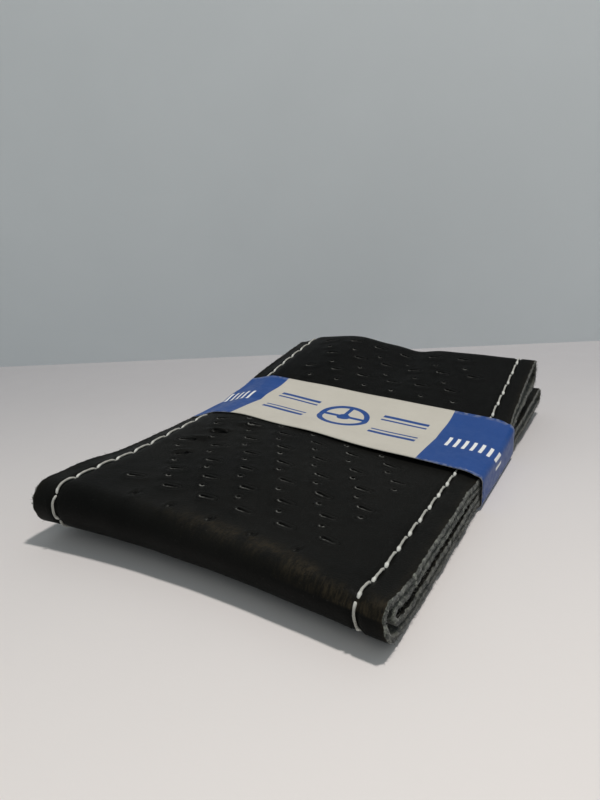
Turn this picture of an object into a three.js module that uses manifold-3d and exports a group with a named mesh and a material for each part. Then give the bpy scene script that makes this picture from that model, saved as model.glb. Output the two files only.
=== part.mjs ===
// A sew-on leather cover for a car steering wheel, as it is sold: one closed loop of leather,
// pressed flat and folded once so that it lies in four layers, with a white thread along both
// long edges, the two ends of the strip butted and laced together, and a printed paper band
// holding the bundle. Millimetres. X runs across the strip, Y along the bundle with the
// outer fold at the low end, Z up, the lowest point on the table at Z = 0.

import * as THREE from 'three';
import { mergeVertices } from 'three/addons/utils/BufferGeometryUtils.js';
import Module from 'manifold-3d';

const wasm = await Module();
wasm.setup();

const { clamp, lerp, smoothstep } = THREE.MathUtils;

// The leather strip.
const stripWidth = 96.5;
const leatherThickness = 1.5;

// Where the bundle ends: the outer surface of each of its four folds, on Y.
const outerFoldEnd = -73;
const outerFoldHollow = 4.2;
const innerFoldInset = 4.2;
const upperFoldEnd = 69;
const lowerFoldEnd = 72.5;

// Where the band squeezes the bundle and where the layers have sprung fully apart, on Y.
const bandCentre = 9;
const nearOpenAt = -66;
const farOpenAt = 62;

// Clear height under the bundle and between its layers, counted up from the table, along
// either edge, and how late they spring apart on the way from the band to each end.
const rightSide = {
  near: { underneath: 0.7, lower: 0.35, middle: 1.4, upper: 0.35 },
  band: { underneath: 1.2, lower: 0.3, middle: 1.6, upper: 0.3 },
  far: { underneath: 3.6, lower: 2.9, middle: 2.1, upper: 6.5 },
  springNear: { underneath: 1.4, lower: 1.4, middle: 1.4, upper: 1.4 },
  springFar: { underneath: 1.0, lower: 0.9, middle: 1.0, upper: 1.9 },
};
const leftSide = {
  near: { underneath: 3.6, lower: 2.3, middle: 2.7, upper: 2.3 },
  band: { underneath: 1.2, lower: 2.3, middle: 2.5, upper: 2.3 },
  far: { underneath: 2.2, lower: 3.8, middle: 4.8, upper: 6.1 },
  springNear: { underneath: 1.2, lower: 1.2, middle: 1.2, upper: 1.2 },
  springFar: { underneath: 0.6, lower: 0.6, middle: 0.6, upper: 0.8 },
};

// The soft wave in the far end of the top layer, the low crown in front of the band, the
// shoulder that rises towards the near edge of the band, the pinch under its far edge, the
// left margin that droops less beside the near fold, the right margin that the band presses
// down, and the right end of the near fold, which stands off the table.
const wave = {
  rise: 2.8, riseAt: -21, riseLeft: 15, riseRight: 11, dip: 1.5, dipAt: 4, dipSpread: 6, start: 24,
};
const crown = { rise: 1.9, at: -5, spread: 17, start: 15, full: -9, fade: -35, gone: -66 };
const shoulder = { rise: 2.2, at: -28, spread: 13, fade: -12, gone: -44 };
const pinch = { drop: 0.9, at: 21, spread: 8 };
const marginDroop = 2.6;
const droopStart = -37;
const nearPlump = { rise: 1.7, start: -38, full: -58 };
const marginPress = 0.8;
const pressStart = 43;
const pressFade = 10;
const tipLift = { rise: 2.2, start: -58, full: -72, shares: [0.62, 0.7, 0.95, 1] };

// The edge seams.
const seamInset = 6.9;
const threadDiameter = 0.8;
const stitchPitch = 6.8;
const stitchRise = 0.25;
const seamGroove = 0.6;
const grooveHalfWidth = 1.2;
const threadClearance = 0.25;
const threadStandsProud = threadClearance + threadDiameter + stitchRise - seamGroove;

// The perforated field: rows of short slits, each row shifted against the one before it, with
// a further shift on the far side of the band.
const slitLength = 4.0;
const slitWidth = 0.7;
const slitPitch = 12.0;
const slitRow = 8.1;
const slitShift = -4.84;
const slitFarShift = 7.9;
const slitFrom = 2.4;
const fieldHalfWidth = 32;
const fieldNear = -55.2;
const fieldFar = 58;
const slitReach = 0.15;

// The butt joint of the strip, hidden on the third layer, and the lacing that closes it.
const jointAt = -34;
const jointGap = 0.4;
const lacingDiameter = 0.5;
const lacingStep = 5;
const lacingHalfSpan = 3;
const lacingClearance = 0.2;
const jointOverrun = 4;
const jointReach = 0.25;

// The paper band.
const bandWidth = 36.5;
const paperThickness = 0.25;
const paperClearance = 0.4;
const paperOverThread = 0.3;
const bandCorner = 1.7;
const bandOverlap = 22;
const overlapGap = 0.13;
const lapRampStart = 1;
const lapRampEnd = 6;
const liesFlatBelow = 1;

// How finely the shapes are divided.
const slopeStep = 0.5;
const stitchesPerStep = 2;
const pointsPerLayer = Math.round((upperFoldEnd - outerFoldEnd) / (stitchPitch * stitchesPerStep));
const pointsPerFold = 7;
const fieldColumns = 11;
const threadSides = 5;
const paperTopPoints = 12;

const layerNames = ['lower', 'middle', 'upper'];

// A smooth hump of height 1 at its centre.
function bell(value, centre, spread) {
  return Math.exp(-(((value - centre) / spread) ** 2));
}

// 0 at the left edge of the strip and 1 at the right edge.
function acrossStrip(x) {
  return clamp(x / stripWidth + 0.5, 0, 1);
}

// One clear height of the bundle at a point, springing from the band towards both ends.
function clearHeight(name, x, y) {
  const sideHeight = (side) => {
    const near = clamp((bandCentre - y) / (bandCentre - nearOpenAt), 0, 1.2);
    const far = clamp((y - bandCentre) / (farOpenAt - bandCentre), 0, 1.2);
    const pinched = side.band[name];
    return pinched + (side.near[name] - pinched) * near ** side.springNear[name]
      + (side.far[name] - pinched) * far ** side.springFar[name];
  };
  return lerp(sideHeight(leftSide), sideHeight(rightSide), acrossStrip(x));
}

// Free shaping added to the stacked layers, strongest in the top one.
function freeShape(layer, x, y) {
  const share = [0, 0.3, 0.6, 1][layer];
  const farness = smoothstep(y, wave.start, farOpenAt);
  const riseSpread = x < wave.riseAt ? wave.riseLeft : wave.riseRight;
  const ripple = wave.rise * bell(x, wave.riseAt, riseSpread)
    - wave.dip * bell(x, wave.dipAt, wave.dipSpread);
  const nearness = smoothstep(-y, -crown.start, -crown.full)
    * (1 - smoothstep(-y, -crown.fade, -crown.gone));
  const arch = crown.rise * bell(x, crown.at, crown.spread);
  const underBand = clamp((bandCentre + bandWidth / 2 - y) / bandWidth, 0, 1);
  const leaning = underBand * (1 - smoothstep(-y, -shoulder.fade, -shoulder.gone));
  const hump = shoulder.rise * bell(x, shoulder.at, shoulder.spread) * leaning;
  const plump = nearPlump.rise * smoothstep(-y, -nearPlump.start, -nearPlump.full);
  const droop = (marginDroop - plump) * smoothstep(-x, -droopStart, stripWidth / 2);
  const tip = tipLift.rise * tipLift.shares[layer] * acrossStrip(x)
    * smoothstep(-y, -tipLift.start, -tipLift.full);
  const fromBand = Math.abs(y - bandCentre) - bandWidth / 2;
  const press = marginPress * smoothstep(x, pressStart, stripWidth / 2)
    * (1 - smoothstep(fromBand, 0, pressFade));
  const pressed = layer >= 2 ? press : 0;
  const pinched = pinch.drop * bell(y, pinch.at, pinch.spread);
  return share * share * (ripple * farness + arch * nearness + hump)
    - share * (droop + pinched) - pressed + tip;
}

// Height of the middle of a layer, layer 0 being the lowest.
function layerHeight(layer, x, y) {
  let height = clearHeight('underneath', x, y) + leatherThickness / 2;
  for (let below = 0; below < layer; below += 1) {
    height += clearHeight(layerNames[below], x, y) + leatherThickness;
  }
  return height + freeShape(layer, x, y);
}

// A point of a layer with its slope, as the start or end of a fold.
function layerPoint(layer, x, y) {
  const rise = layerHeight(layer, x, y + slopeStep) - layerHeight(layer, x, y - slopeStep);
  const slope = rise / (2 * slopeStep);
  return { place: new THREE.Vector2(y, layerHeight(layer, x, y)), slope };
}

// A fold from one layer to the next, bulging past the layers in the given direction so that
// its outer surface just reaches the given end.
function foldCurve(fromLayer, toLayer, x, end, direction) {
  const spacing = Math.abs(layerHeight(fromLayer, x, end) - layerHeight(toLayer, x, end));
  const start = end - direction * (spacing / 2 + leatherThickness / 2);
  const from = layerPoint(fromLayer, x, start);
  const to = layerPoint(toLayer, x, start);
  const handle = (from.place.distanceTo(to.place) * 2) / 3;
  const along = (point) => new THREE.Vector2(1, point.slope).normalize()
    .multiplyScalar(direction * handle).add(point.place);
  return new THREE.CubicBezierCurve(from.place, along(from), along(to), to.place);
}

// The ends of the four folds, each following the hollow of the near side across the strip.
function foldsAt(x) {
  const across = acrossStrip(x);
  const hollow = outerFoldHollow * Math.sin(Math.PI * across) * (1 - across / 2);
  const outer = outerFoldEnd + hollow;
  return {
    outer: foldCurve(0, 3, x, outer, -1),
    upper: foldCurve(3, 2, x, upperFoldEnd, 1),
    inner: foldCurve(2, 1, x, outer + innerFoldInset, -1),
    lower: foldCurve(1, 0, x, lowerFoldEnd, 1),
  };
}

// The points of one layer between two folds, without the end points.
function layerRun(layer, x, fromY, toY) {
  const run = [];
  for (let i = 1; i < pointsPerLayer; i += 1) {
    const y = lerp(fromY, toY, i / pointsPerLayer);
    run.push(new THREE.Vector2(y, layerHeight(layer, x, y)));
  }
  return run;
}

// The middle line of the leather loop at one place across the strip, once round.
function loopAt(x) {
  const { outer, upper, inner, lower } = foldsAt(x);
  return [
    ...outer.getPoints(pointsPerFold * 2),
    ...layerRun(3, x, outer.v3.x, upper.v0.x),
    ...upper.getPoints(pointsPerFold),
    ...layerRun(2, x, upper.v3.x, inner.v0.x),
    ...inner.getPoints(pointsPerFold),
    ...layerRun(1, x, inner.v3.x, lower.v0.x),
    ...lower.getPoints(pointsPerFold),
    ...layerRun(0, x, lower.v3.x, outer.v0.x),
  ];
}

// The direction out of the loop, towards the grain side, at each point of a closed line.
function outwardNormals(line) {
  return line.map((point, i) => {
    const before = line[(i + line.length - 1) % line.length];
    const after = line[(i + 1) % line.length];
    const run = after.clone().sub(before).normalize();
    return new THREE.Vector2(-run.y, run.x);
  });
}

// A closed body from a ring of rings: pointAt gives the point for a step round the loop and
// a step round its section.
function ringBody(loopSteps, sectionSteps, pointAt) {
  const positions = [];
  for (let u = 0; u < loopSteps; u += 1) {
    for (let v = 0; v < sectionSteps; v += 1) {
      positions.push(...pointAt(u, v).toArray());
    }
  }
  const index = [];
  const at = (u, v) => (u % loopSteps) * sectionSteps + (v % sectionSteps);
  for (let u = 0; u < loopSteps; u += 1) {
    for (let v = 0; v < sectionSteps; v += 1) {
      index.push(at(u, v), at(u, v + 1), at(u + 1, v + 1));
      index.push(at(u, v), at(u + 1, v + 1), at(u + 1, v));
    }
  }
  return indexedGeometry(positions, index);
}

// A surface from its corner positions and its triangles.
function indexedGeometry(positions, index) {
  const geometry = new THREE.BufferGeometry();
  geometry.setAttribute('position', new THREE.Float32BufferAttribute(positions, 3));
  geometry.setIndex(index);
  geometry.computeVertexNormals();
  return geometry;
}

// Places across the grain side, from the left edge to the right, with the seam grooves.
function grainColumns() {
  const seam = stripWidth / 2 - seamInset;
  const inner = seam - grooveHalfWidth;
  const columns = [{ x: -stripWidth / 2, sunk: 0 }];
  const groove = (middle) => {
    columns.push({ x: middle - grooveHalfWidth, sunk: 0 });
    columns.push({ x: middle, sunk: seamGroove });
    columns.push({ x: middle + grooveHalfWidth, sunk: 0 });
  };
  groove(-seam);
  for (let i = 1; i < fieldColumns; i += 1) {
    columns.push({ x: lerp(-inner, inner, i / fieldColumns), sunk: 0 });
  }
  groove(seam);
  columns.push({ x: stripWidth / 2, sunk: 0 });
  return columns;
}

// The closed leather loop before anything is cut from it.
function leatherLoop() {
  const grain = grainColumns();
  const flesh = grain.filter(({ sunk }) => sunk === 0).reverse();
  const half = leatherThickness / 2;
  const section = [
    ...grain.map(({ x, sunk }) => ({ x, lift: half - sunk })),
    ...flesh.map(({ x }) => ({ x, lift: -half })),
  ];
  const lines = section.map(({ x }) => loopAt(x));
  const normals = lines.map(outwardNormals);
  return ringBody(lines[0].length, section.length, (u, v) => {
    const place = normals[v][u].clone().multiplyScalar(section[v].lift).add(lines[v][u]);
    return new THREE.Vector3(section[v].x, place.x, place.y);
  });
}

// A short block through one layer, tilted with it both ways.
function slitBlock(layer, x, y) {
  const { place, slope } = layerPoint(layer, x, y);
  const halfSlit = slitLength / 2;
  const leftEnd = layerHeight(layer, x - halfSlit, y);
  const rightEnd = layerHeight(layer, x + halfSlit, y);
  const outward = layer === 0 ? -1 : 1;
  const block = new THREE.BoxGeometry(slitLength, slitWidth, leatherThickness + slitReach * 4);
  block.rotateX(Math.atan(slope));
  block.rotateY(Math.atan((leftEnd - rightEnd) / slitLength));
  return block.translate(x, place.x, (leftEnd + rightEnd) / 2 + outward * slitReach);
}

// Slits through the two layers that face outwards, the top one and the bottom one.
function slitBlocks() {
  const blocks = [];
  const rows = Math.floor((fieldFar - fieldNear) / slitRow);
  for (let row = 0; row <= rows; row += 1) {
    const y = fieldNear + row * slitRow;
    const shift = row * slitShift + (y > bandCentre ? slitFarShift : 0);
    const middle = slitFrom + slitLength / 2 + shift;
    const missing = Math.ceil((-fieldHalfWidth - middle) / slitPitch);
    for (let x = middle + missing * slitPitch; x <= fieldHalfWidth; x += slitPitch) {
      blocks.push(slitBlock(3, x, y));
      blocks.push(slitBlock(0, x, y));
    }
  }
  return blocks;
}

// The gap between the two butted ends of the strip.
function jointBlock() {
  const { place } = layerPoint(1, 0, jointAt);
  const rise = layerHeight(1, -stripWidth / 2, jointAt) - layerHeight(1, stripWidth / 2, jointAt);
  const block = new THREE.BoxGeometry(
    stripWidth + 2 * jointOverrun, jointGap, leatherThickness + 2 * jointReach,
  );
  block.rotateY(Math.atan(rise / stripWidth));
  return block.translate(0, place.x, place.y);
}

// A closed surface as a solid that can be cut.
function toSolid(geometry) {
  const bare = geometry.clone();
  bare.deleteAttribute('normal');
  bare.deleteAttribute('uv');
  const joined = mergeVertices(bare, 1e-5);
  return new wasm.Manifold(new wasm.Mesh({
    numProp: 3,
    vertProperties: new Float32Array(joined.getAttribute('position').array),
    triVerts: new Uint32Array(joined.getIndex().array),
  }));
}

// The surface of a solid.
function fromSolid(solid) {
  const mesh = solid.getMesh();
  return indexedGeometry(Array.from(mesh.vertProperties), Array.from(mesh.triVerts));
}

// What is left of a body when every block has been cut from it.
function cutAway(geometry, blocks) {
  let solid = toSolid(geometry);
  for (const block of blocks) {
    solid = solid.subtract(toSolid(block));
  }
  return fromSolid(solid);
}

// Points along the seam: each bend of the folds, and on the flat a few whole stitches between
// one bend and the next, each arching up in its middle.
function seamPoints(x) {
  const line = loopAt(x);
  const normals = outwardNormals(line);
  return line.flatMap((from, i) => {
    const next = (i + 1) % line.length;
    const flat = from.distanceTo(line[next]) > stitchPitch;
    const halves = flat ? 2 * stitchesPerStep : 1;
    return Array.from({ length: halves }, (_, half) => ({
      place: from.clone().lerp(line[next], half / halves),
      normal: normals[i].clone().lerp(normals[next], half / halves).normalize(),
      rise: (half % 2) * stitchRise,
    }));
  });
}

// One continuous thread lying in its seam groove, arching a little over every stitch.
function edgeThread(x) {
  const points = seamPoints(x);
  const radius = threadDiameter / 2;
  const seat = leatherThickness / 2 - seamGroove + threadClearance + radius;
  return ringBody(points.length, threadSides, (u, v) => {
    const { place, normal, rise } = points[u];
    const angle = (2 * Math.PI * v) / threadSides;
    const lift = seat + rise + radius * Math.sin(angle);
    const centre = normal.clone().multiplyScalar(lift).add(place);
    return new THREE.Vector3(x - radius * Math.cos(angle), centre.x, centre.y);
  });
}

// The lacing that crosses the butt joint from side to side on the grain of the third layer.
function lacingThread() {
  const reach = stripWidth / 2 - seamInset - lacingStep;
  const count = Math.floor((2 * reach) / lacingStep);
  const lift = leatherThickness / 2 + lacingClearance + lacingDiameter / 2;
  const points = [];
  for (let i = 0; i <= count; i += 1) {
    const x = lerp(-reach, reach, i / count);
    const y = jointAt + (i % 2 ? lacingHalfSpan : -lacingHalfSpan);
    points.push(new THREE.Vector3(x, y, layerHeight(1, x, y) + lift));
  }
  const corners = [];
  for (let side = 0; side < threadSides; side += 1) {
    const angle = (2 * Math.PI * side) / threadSides;
    const corner = new THREE.Vector2(Math.cos(angle), Math.sin(angle));
    corners.push(corner.multiplyScalar(lacingDiameter / 2));
  }
  const extrudePath = new THREE.CatmullRomCurve3(points, false, 'catmullrom', 0.2);
  return new THREE.ExtrudeGeometry(new THREE.Shape(corners), {
    extrudePath, steps: count * 3, bevelEnabled: false,
  });
}

// The middle line of the paper seen from the near end: over its own start under the bundle,
// up the right side, back over the top and down the left side.
function paperPath() {
  const low = paperThickness / 2;
  const high = low + paperThickness + overlapGap;
  const side = stripWidth / 2 + paperClearance + paperThickness / 2;
  const lift = leatherThickness / 2 + threadStandsProud + paperOverThread + paperThickness / 2;
  const topAt = (x) => layerHeight(3, x, bandCentre) + lift;
  const flap = bandOverlap / 2;
  const corner = (x, z, from) => {
    const arc = [];
    for (let i = 0; i <= 4; i += 1) {
      const angle = from + (i / 4) * (Math.PI / 2);
      const spoke = new THREE.Vector2(Math.cos(angle), Math.sin(angle));
      arc.push(spoke.multiplyScalar(bandCorner).add(new THREE.Vector2(x, z)));
    }
    return arc;
  };
  const top = [];
  const inner = side - bandCorner;
  for (let i = 1; i < paperTopPoints; i += 1) {
    const x = lerp(inner, -inner, i / paperTopPoints);
    top.push(new THREE.Vector2(x, topAt(x)));
  }
  return [
    new THREE.Vector2(-flap, high),
    new THREE.Vector2(flap + lapRampStart, high),
    new THREE.Vector2(flap + lapRampEnd, low),
    ...corner(inner, low + bandCorner, -Math.PI / 2),
    ...corner(inner, topAt(side) - bandCorner, 0),
    ...top,
    ...corner(-inner, topAt(-side) - bandCorner, Math.PI / 2),
    ...corner(-inner, low + bandCorner, Math.PI),
    new THREE.Vector2(flap, low),
  ];
}

// The closed outline of a strip of the given thickness laid along an open line.
function outlineOf(line, thickness) {
  const offset = (side) => line.map((point, i) => {
    const before = line[Math.max(i - 1, 0)];
    const after = line[Math.min(i + 1, line.length - 1)];
    const run = after.clone().sub(before).normalize();
    return new THREE.Vector2(point.x + side * run.y, point.y - side * run.x);
  });
  return new THREE.Shape([...offset(thickness / 2), ...offset(-thickness / 2).reverse()]);
}

// The paper band: the outline drawn at the middle of the band, pushed out to its width, then
// raised or lowered with the leather under it.
function paperBand() {
  const geometry = new THREE.ExtrudeGeometry(outlineOf(paperPath(), paperThickness), {
    depth: bandWidth, steps: 3, bevelEnabled: false,
  });
  geometry.rotateX(Math.PI / 2);
  geometry.translate(0, bandCentre + bandWidth / 2, 0);
  const corners = geometry.getAttribute('position');
  for (let i = 0; i < corners.count; i += 1) {
    const [x, y, z] = [corners.getX(i), corners.getY(i), corners.getZ(i)];
    const middleTop = layerHeight(3, x, bandCentre);
    const share = clamp((z - liesFlatBelow) / (middleTop - liesFlatBelow), 0, 1);
    corners.setZ(i, z + share * (layerHeight(3, x, y) - middleTop));
  }
  return geometry;
}

// One named piece with its own plain material.
function piece(name, geometry, color, roughness) {
  const mesh = new THREE.Mesh(geometry, new THREE.MeshStandardMaterial({ color, roughness }));
  mesh.name = name;
  return mesh;
}

const seamAt = stripWidth / 2 - seamInset;
const cover = new THREE.Group();
cover.name = 'steering_wheel_cover';
cover.add(
  piece('leather_strip', cutAway(leatherLoop(), [...slitBlocks(), jointBlock()]), 0x1b1b1a, 0.5),
  piece('edge_thread_right', edgeThread(seamAt), 0xbdbdb2, 0.8),
  piece('edge_thread_left', edgeThread(-seamAt), 0xbdbdb2, 0.8),
  piece('lacing_thread', lacingThread(), 0x2a2a2a, 0.8),
  piece('paper_band', paperBand(), 0xd7cdbe, 0.6),
);

export default cover;
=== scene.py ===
"""A sew-on leather cover for a steering wheel, folded flat and held by a printed paper band.

Sizes are in millimetres and are turned into metres where a mesh is made. X runs across the
strip, Y along the bundle with the outer fold at the low end, Z up from the floor.
"""

from __future__ import annotations

import logging
import math
from dataclasses import dataclass, field
from enum import Enum
from functools import reduce

import bpy
import numpy as np
from mathutils import Matrix, Vector


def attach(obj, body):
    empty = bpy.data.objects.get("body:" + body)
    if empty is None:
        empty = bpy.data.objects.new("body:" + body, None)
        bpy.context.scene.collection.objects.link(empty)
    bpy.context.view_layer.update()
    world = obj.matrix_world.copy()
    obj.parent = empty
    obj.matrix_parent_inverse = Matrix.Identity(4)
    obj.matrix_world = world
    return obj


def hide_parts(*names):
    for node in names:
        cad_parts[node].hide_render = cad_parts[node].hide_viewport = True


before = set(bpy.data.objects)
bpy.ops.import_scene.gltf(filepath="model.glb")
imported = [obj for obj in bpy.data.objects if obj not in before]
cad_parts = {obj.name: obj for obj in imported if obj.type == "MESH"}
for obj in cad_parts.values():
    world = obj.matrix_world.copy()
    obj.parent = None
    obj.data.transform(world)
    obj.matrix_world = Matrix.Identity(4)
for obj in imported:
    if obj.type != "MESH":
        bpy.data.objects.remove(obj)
LOG = logging.getLogger("wheel_cover")
MM = 0.001
Colour = tuple[float, float, float]


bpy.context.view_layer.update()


def ease(value: np.ndarray, low: float, high: float) -> np.ndarray:
    """Rises smoothly from 0 at low to 1 at high."""
    share = np.clip((value - low) / (high - low), 0.0, 1.0)
    return share * share * (3.0 - 2.0 * share)


def bell(value: np.ndarray, centre: float, spread: float) -> np.ndarray:
    """A smooth hump of height 1 at its centre."""
    return np.exp(-(((value - centre) / spread) ** 2))


def unit(vectors: np.ndarray) -> np.ndarray:
    """Scales vectors in the last axis to length 1."""
    return vectors / np.maximum(np.linalg.norm(vectors, axis=-1, keepdims=True), 1e-12)


@dataclass(frozen=True)
class Span:
    """A stretch of values over which something comes in softly."""

    low: float
    high: float

    def share(self, value: np.ndarray) -> np.ndarray:
        """Gives 0 before the stretch, 1 after it and a smooth rise between."""
        return ease(value, self.low, self.high)


@dataclass(frozen=True)
class Hump:
    """A smooth hump with its height, its centre and its spread."""

    height: float
    centre: float
    spread: float

    def at(self, value: np.ndarray) -> np.ndarray:
        """Gives the height of the hump at each value."""
        return self.height * bell(value, self.centre, self.spread)


@dataclass(frozen=True)
class SoftWaves:
    """An uneven surface made of many slow waves with seeded headings."""

    seed: int
    wavelength: float
    height: float
    waves: int = 14

    def at(self, across: np.ndarray, along: np.ndarray) -> np.ndarray:
        """Gives the height of the waves.

        Args:
            across: First coordinate of each place.
            along: Second coordinate of each place.

        Returns:
            The height at each place, in the unit of the height field.
        """
        draw = np.random.default_rng(self.seed)
        heading = draw.uniform(0.0, 2.0 * math.pi, self.waves)
        length = self.wavelength * draw.uniform(0.6, 1.7, self.waves)
        phase = draw.uniform(0.0, 2.0 * math.pi, self.waves)
        total = np.zeros(np.broadcast(across, along).shape)
        for turn, size, start in zip(heading, length, phase):
            travel = across * math.cos(turn) + along * math.sin(turn)
            total += np.cos(2.0 * math.pi * travel / size + start)
        return self.height * total / math.sqrt(self.waves)


def make_piece(name: str, points: np.ndarray, faces: list, smooth: bool = True) -> bpy.types.Object:
    """Makes a mesh object and links it to the scene.

    Args:
        name: The name of the piece.
        points: Corner positions in millimetres, one row each.
        faces: Corner numbers of each face, or an array of them.
        smooth: Whether the faces are shaded smoothly.

    Returns:
        The new object, at the origin.
    """
    mesh = bpy.data.meshes.new(name)
    rows = faces.tolist() if isinstance(faces, np.ndarray) else faces
    mesh.from_pydata((points * MM).tolist(), [], rows)
    mesh.validate()
    mesh.polygons.foreach_set("use_smooth", [smooth] * len(mesh.polygons))
    piece = bpy.data.objects.new(name, mesh)
    bpy.context.scene.collection.objects.link(piece)
    return piece


def paint_points(piece: bpy.types.Object, name: str, values: np.ndarray) -> None:
    """Stores one number per corner of a mesh for its material to read.

    Args:
        piece: The mesh object.
        name: The name of the attribute.
        values: One number per corner.
    """
    layer = piece.data.attributes.new(name, "FLOAT", "POINT")
    layer.data.foreach_set("value", np.asarray(values, dtype=np.float32).ravel())


# Shape of the folded bundle


class Hand(Enum):
    """The two long edges of the strip, as the sign of X."""

    LEFT = -1
    RIGHT = 1


@dataclass(frozen=True)
class SideOpenings:
    """Clear heights along one edge: under the bundle, then the three gaps going up."""

    near: tuple[float, float, float, float]
    band: tuple[float, float, float, float]
    far: tuple[float, float, float, float]
    spring_near: tuple[float, float, float, float]
    spring_far: tuple[float, float, float, float]


@dataclass(frozen=True)
class Bundle:
    """The closed strip folded into four layers, layer 0 the lowest."""

    strip_width: float = 96.5
    thickness: float = 1.5
    outer_end: float = -73.0
    outer_hollow: float = 4.2
    inner_inset: float = 4.2
    upper_end: float = 69.0
    lower_end: float = 72.5
    band_centre: float = 9.0
    near_open: float = -66.0
    far_open: float = 62.0
    joint_at: float = -34.0
    joint_gap: float = 0.4
    layer_shares: tuple[float, float, float, float] = (0.0, 0.3, 0.6, 1.0)
    wave_rise: float = 2.8
    wave_at: float = -21.0
    wave_spreads: tuple[float, float] = (15.0, 11.0)
    wave_from: float = 24.0
    dip: Hump = Hump(1.5, 4.0, 6.0)
    crown: Hump = Hump(1.9, -5.0, 17.0)
    crown_in: Span = Span(-15.0, 9.0)
    crown_out: Span = Span(35.0, 66.0)
    shoulder: Hump = Hump(2.2, -28.0, 13.0)
    shoulder_out: Span = Span(12.0, 44.0)
    pinch: Hump = Hump(0.9, 21.0, 8.0)
    margin_droop: float = 2.6
    droop_from: float = 37.0
    near_plump: float = 1.7
    plump_in: Span = Span(38.0, 58.0)
    tip_lift: float = 2.2
    tip_in: Span = Span(58.0, 72.0)
    tip_shares: tuple[float, float, float, float] = (0.62, 0.7, 0.95, 1.0)
    margin_press: float = 0.8
    press_from: float = 43.0
    press_out: Span = Span(0.0, 10.0)
    side_step: float = 0.3
    step_in: Span = Span(0.0, 24.0)
    pair_blend: Span = Span(-2.0, 2.0)
    narrow_from: float = 40.0
    narrow_places: tuple[float, ...] = (-60.0, -12.0, 6.0, 27.0, 45.0)
    narrow_amounts: tuple[float, ...] = (0.5, 0.5, 0.0, 0.5, 1.0)
    furthest_open: float = 1.2
    band_half: float = 18.25
    right: SideOpenings = SideOpenings(
        near=(0.7, 0.6, 0.8, 0.7),
        band=(1.5, 0.45, 0.85, 0.5),
        far=(3.6, 2.9, 2.1, 6.5),
        spring_near=(1.4, 1.4, 1.4, 1.4),
        spring_far=(1.0, 0.9, 1.0, 1.9),
    )
    left: SideOpenings = SideOpenings(
        near=(3.6, 2.3, 2.7, 2.3),
        band=(1.2, 2.3, 2.5, 2.3),
        far=(2.2, 3.8, 4.8, 6.1),
        spring_near=(1.2, 1.2, 1.2, 1.2),
        spring_far=(0.6, 0.6, 0.6, 0.8),
    )

    def gap_height(self, gap: int, x: np.ndarray, y: np.ndarray) -> np.ndarray:
        """Clear height of one gap, springing open from the band towards both ends.

        Args:
            gap: 0 under the bundle, 1 to 3 between its layers.
            x: Places across the strip.
            y: Places along the bundle.

        Returns:
            The clear height at each place.
        """
        near = np.clip((self.band_centre - y) / (self.band_centre - self.near_open), 0, self.furthest_open)
        far = np.clip((y - self.band_centre) / (self.far_open - self.band_centre), 0, self.furthest_open)

        def beside(side: SideOpenings) -> np.ndarray:
            """Gives the clear height along one edge."""
            pinched = side.band[gap]
            return (
                pinched
                + (side.near[gap] - pinched) * near ** side.spring_near[gap]
                + (side.far[gap] - pinched) * far ** side.spring_far[gap]
            )

        across = np.clip(x / self.strip_width + 0.5, 0, 1)
        return beside(self.left) * (1 - across) + beside(self.right) * across

    def free_shape(self, layer: int, x: np.ndarray, y: np.ndarray) -> np.ndarray:
        """Wave, crown, shoulder, drooping left margin and pressed right margin of a layer.

        Args:
            layer: 0 for the lowest to 3 for the top one.
            x: Places across the strip.
            y: Places along the bundle.

        Returns:
            The height that they add at each place.
        """
        share = self.layer_shares[layer]
        edge = self.strip_width / 2
        spread = np.where(x < self.wave_at, *self.wave_spreads)
        ripple = self.wave_rise * bell(x, self.wave_at, spread) - self.dip.at(x)
        ripple = ripple * ease(y, self.wave_from, self.far_open)
        arch = self.crown.at(x) * self.crown_in.share(-y) * (1 - self.crown_out.share(-y))
        under_band = np.clip((self.band_centre + self.band_half - y) / (2 * self.band_half), 0, 1)
        shoulder = self.shoulder.at(x) * under_band * (1 - self.shoulder_out.share(-y))
        depth = self.margin_droop - self.near_plump * self.plump_in.share(-y)
        droop = depth * ease(-x, self.droop_from, edge)
        across = np.clip(x / self.strip_width + 0.5, 0, 1)
        tip = self.tip_lift * across * self.tip_in.share(-y) * self.tip_shares[layer]
        beyond = np.abs(y - self.band_centre) - self.band_half
        press = self.margin_press * ease(x, self.press_from, edge) * (1 - self.press_out.share(beyond))
        swell = share * share * (ripple + arch + shoulder) - share * (droop + self.pinch.at(y))
        return swell + tip - (press if layer >= 2 else 0)

    def side_shift(self, x: np.ndarray, y: np.ndarray, z: np.ndarray) -> np.ndarray:
        """How far the right margin of each pair of layers moves sideways.

        Args:
            x: Places across the strip.
            y: Places along the bundle.
            z: Heights above the floor.

        Returns:
            The shift towards +X at each place, least under the band.
        """
        middle = (self.layer_height(1, x, y) + self.layer_height(2, x, y)) / 2
        upper = self.pair_blend.share(z - middle)
        beyond = np.abs(y - self.band_centre) - self.band_half
        narrower = np.interp(y, self.narrow_places, self.narrow_amounts)
        narrower = narrower * ease(x, self.narrow_from, self.strip_width / 2)
        return self.side_step * (1 - upper) * self.step_in.share(beyond) - narrower * upper

    def layer_height(self, layer: int, x: np.ndarray, y: np.ndarray) -> np.ndarray:
        """Height of the middle of a layer.

        Args:
            layer: 0 for the lowest to 3 for the top one.
            x: Places across the strip.
            y: Places along the bundle.

        Returns:
            The height above the floor at each place.
        """
        height = self.gap_height(0, x, y) + self.thickness / 2
        for below in range(layer):
            height = height + self.gap_height(below + 1, x, y) + self.thickness
        return height + self.free_shape(layer, x, y)

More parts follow.
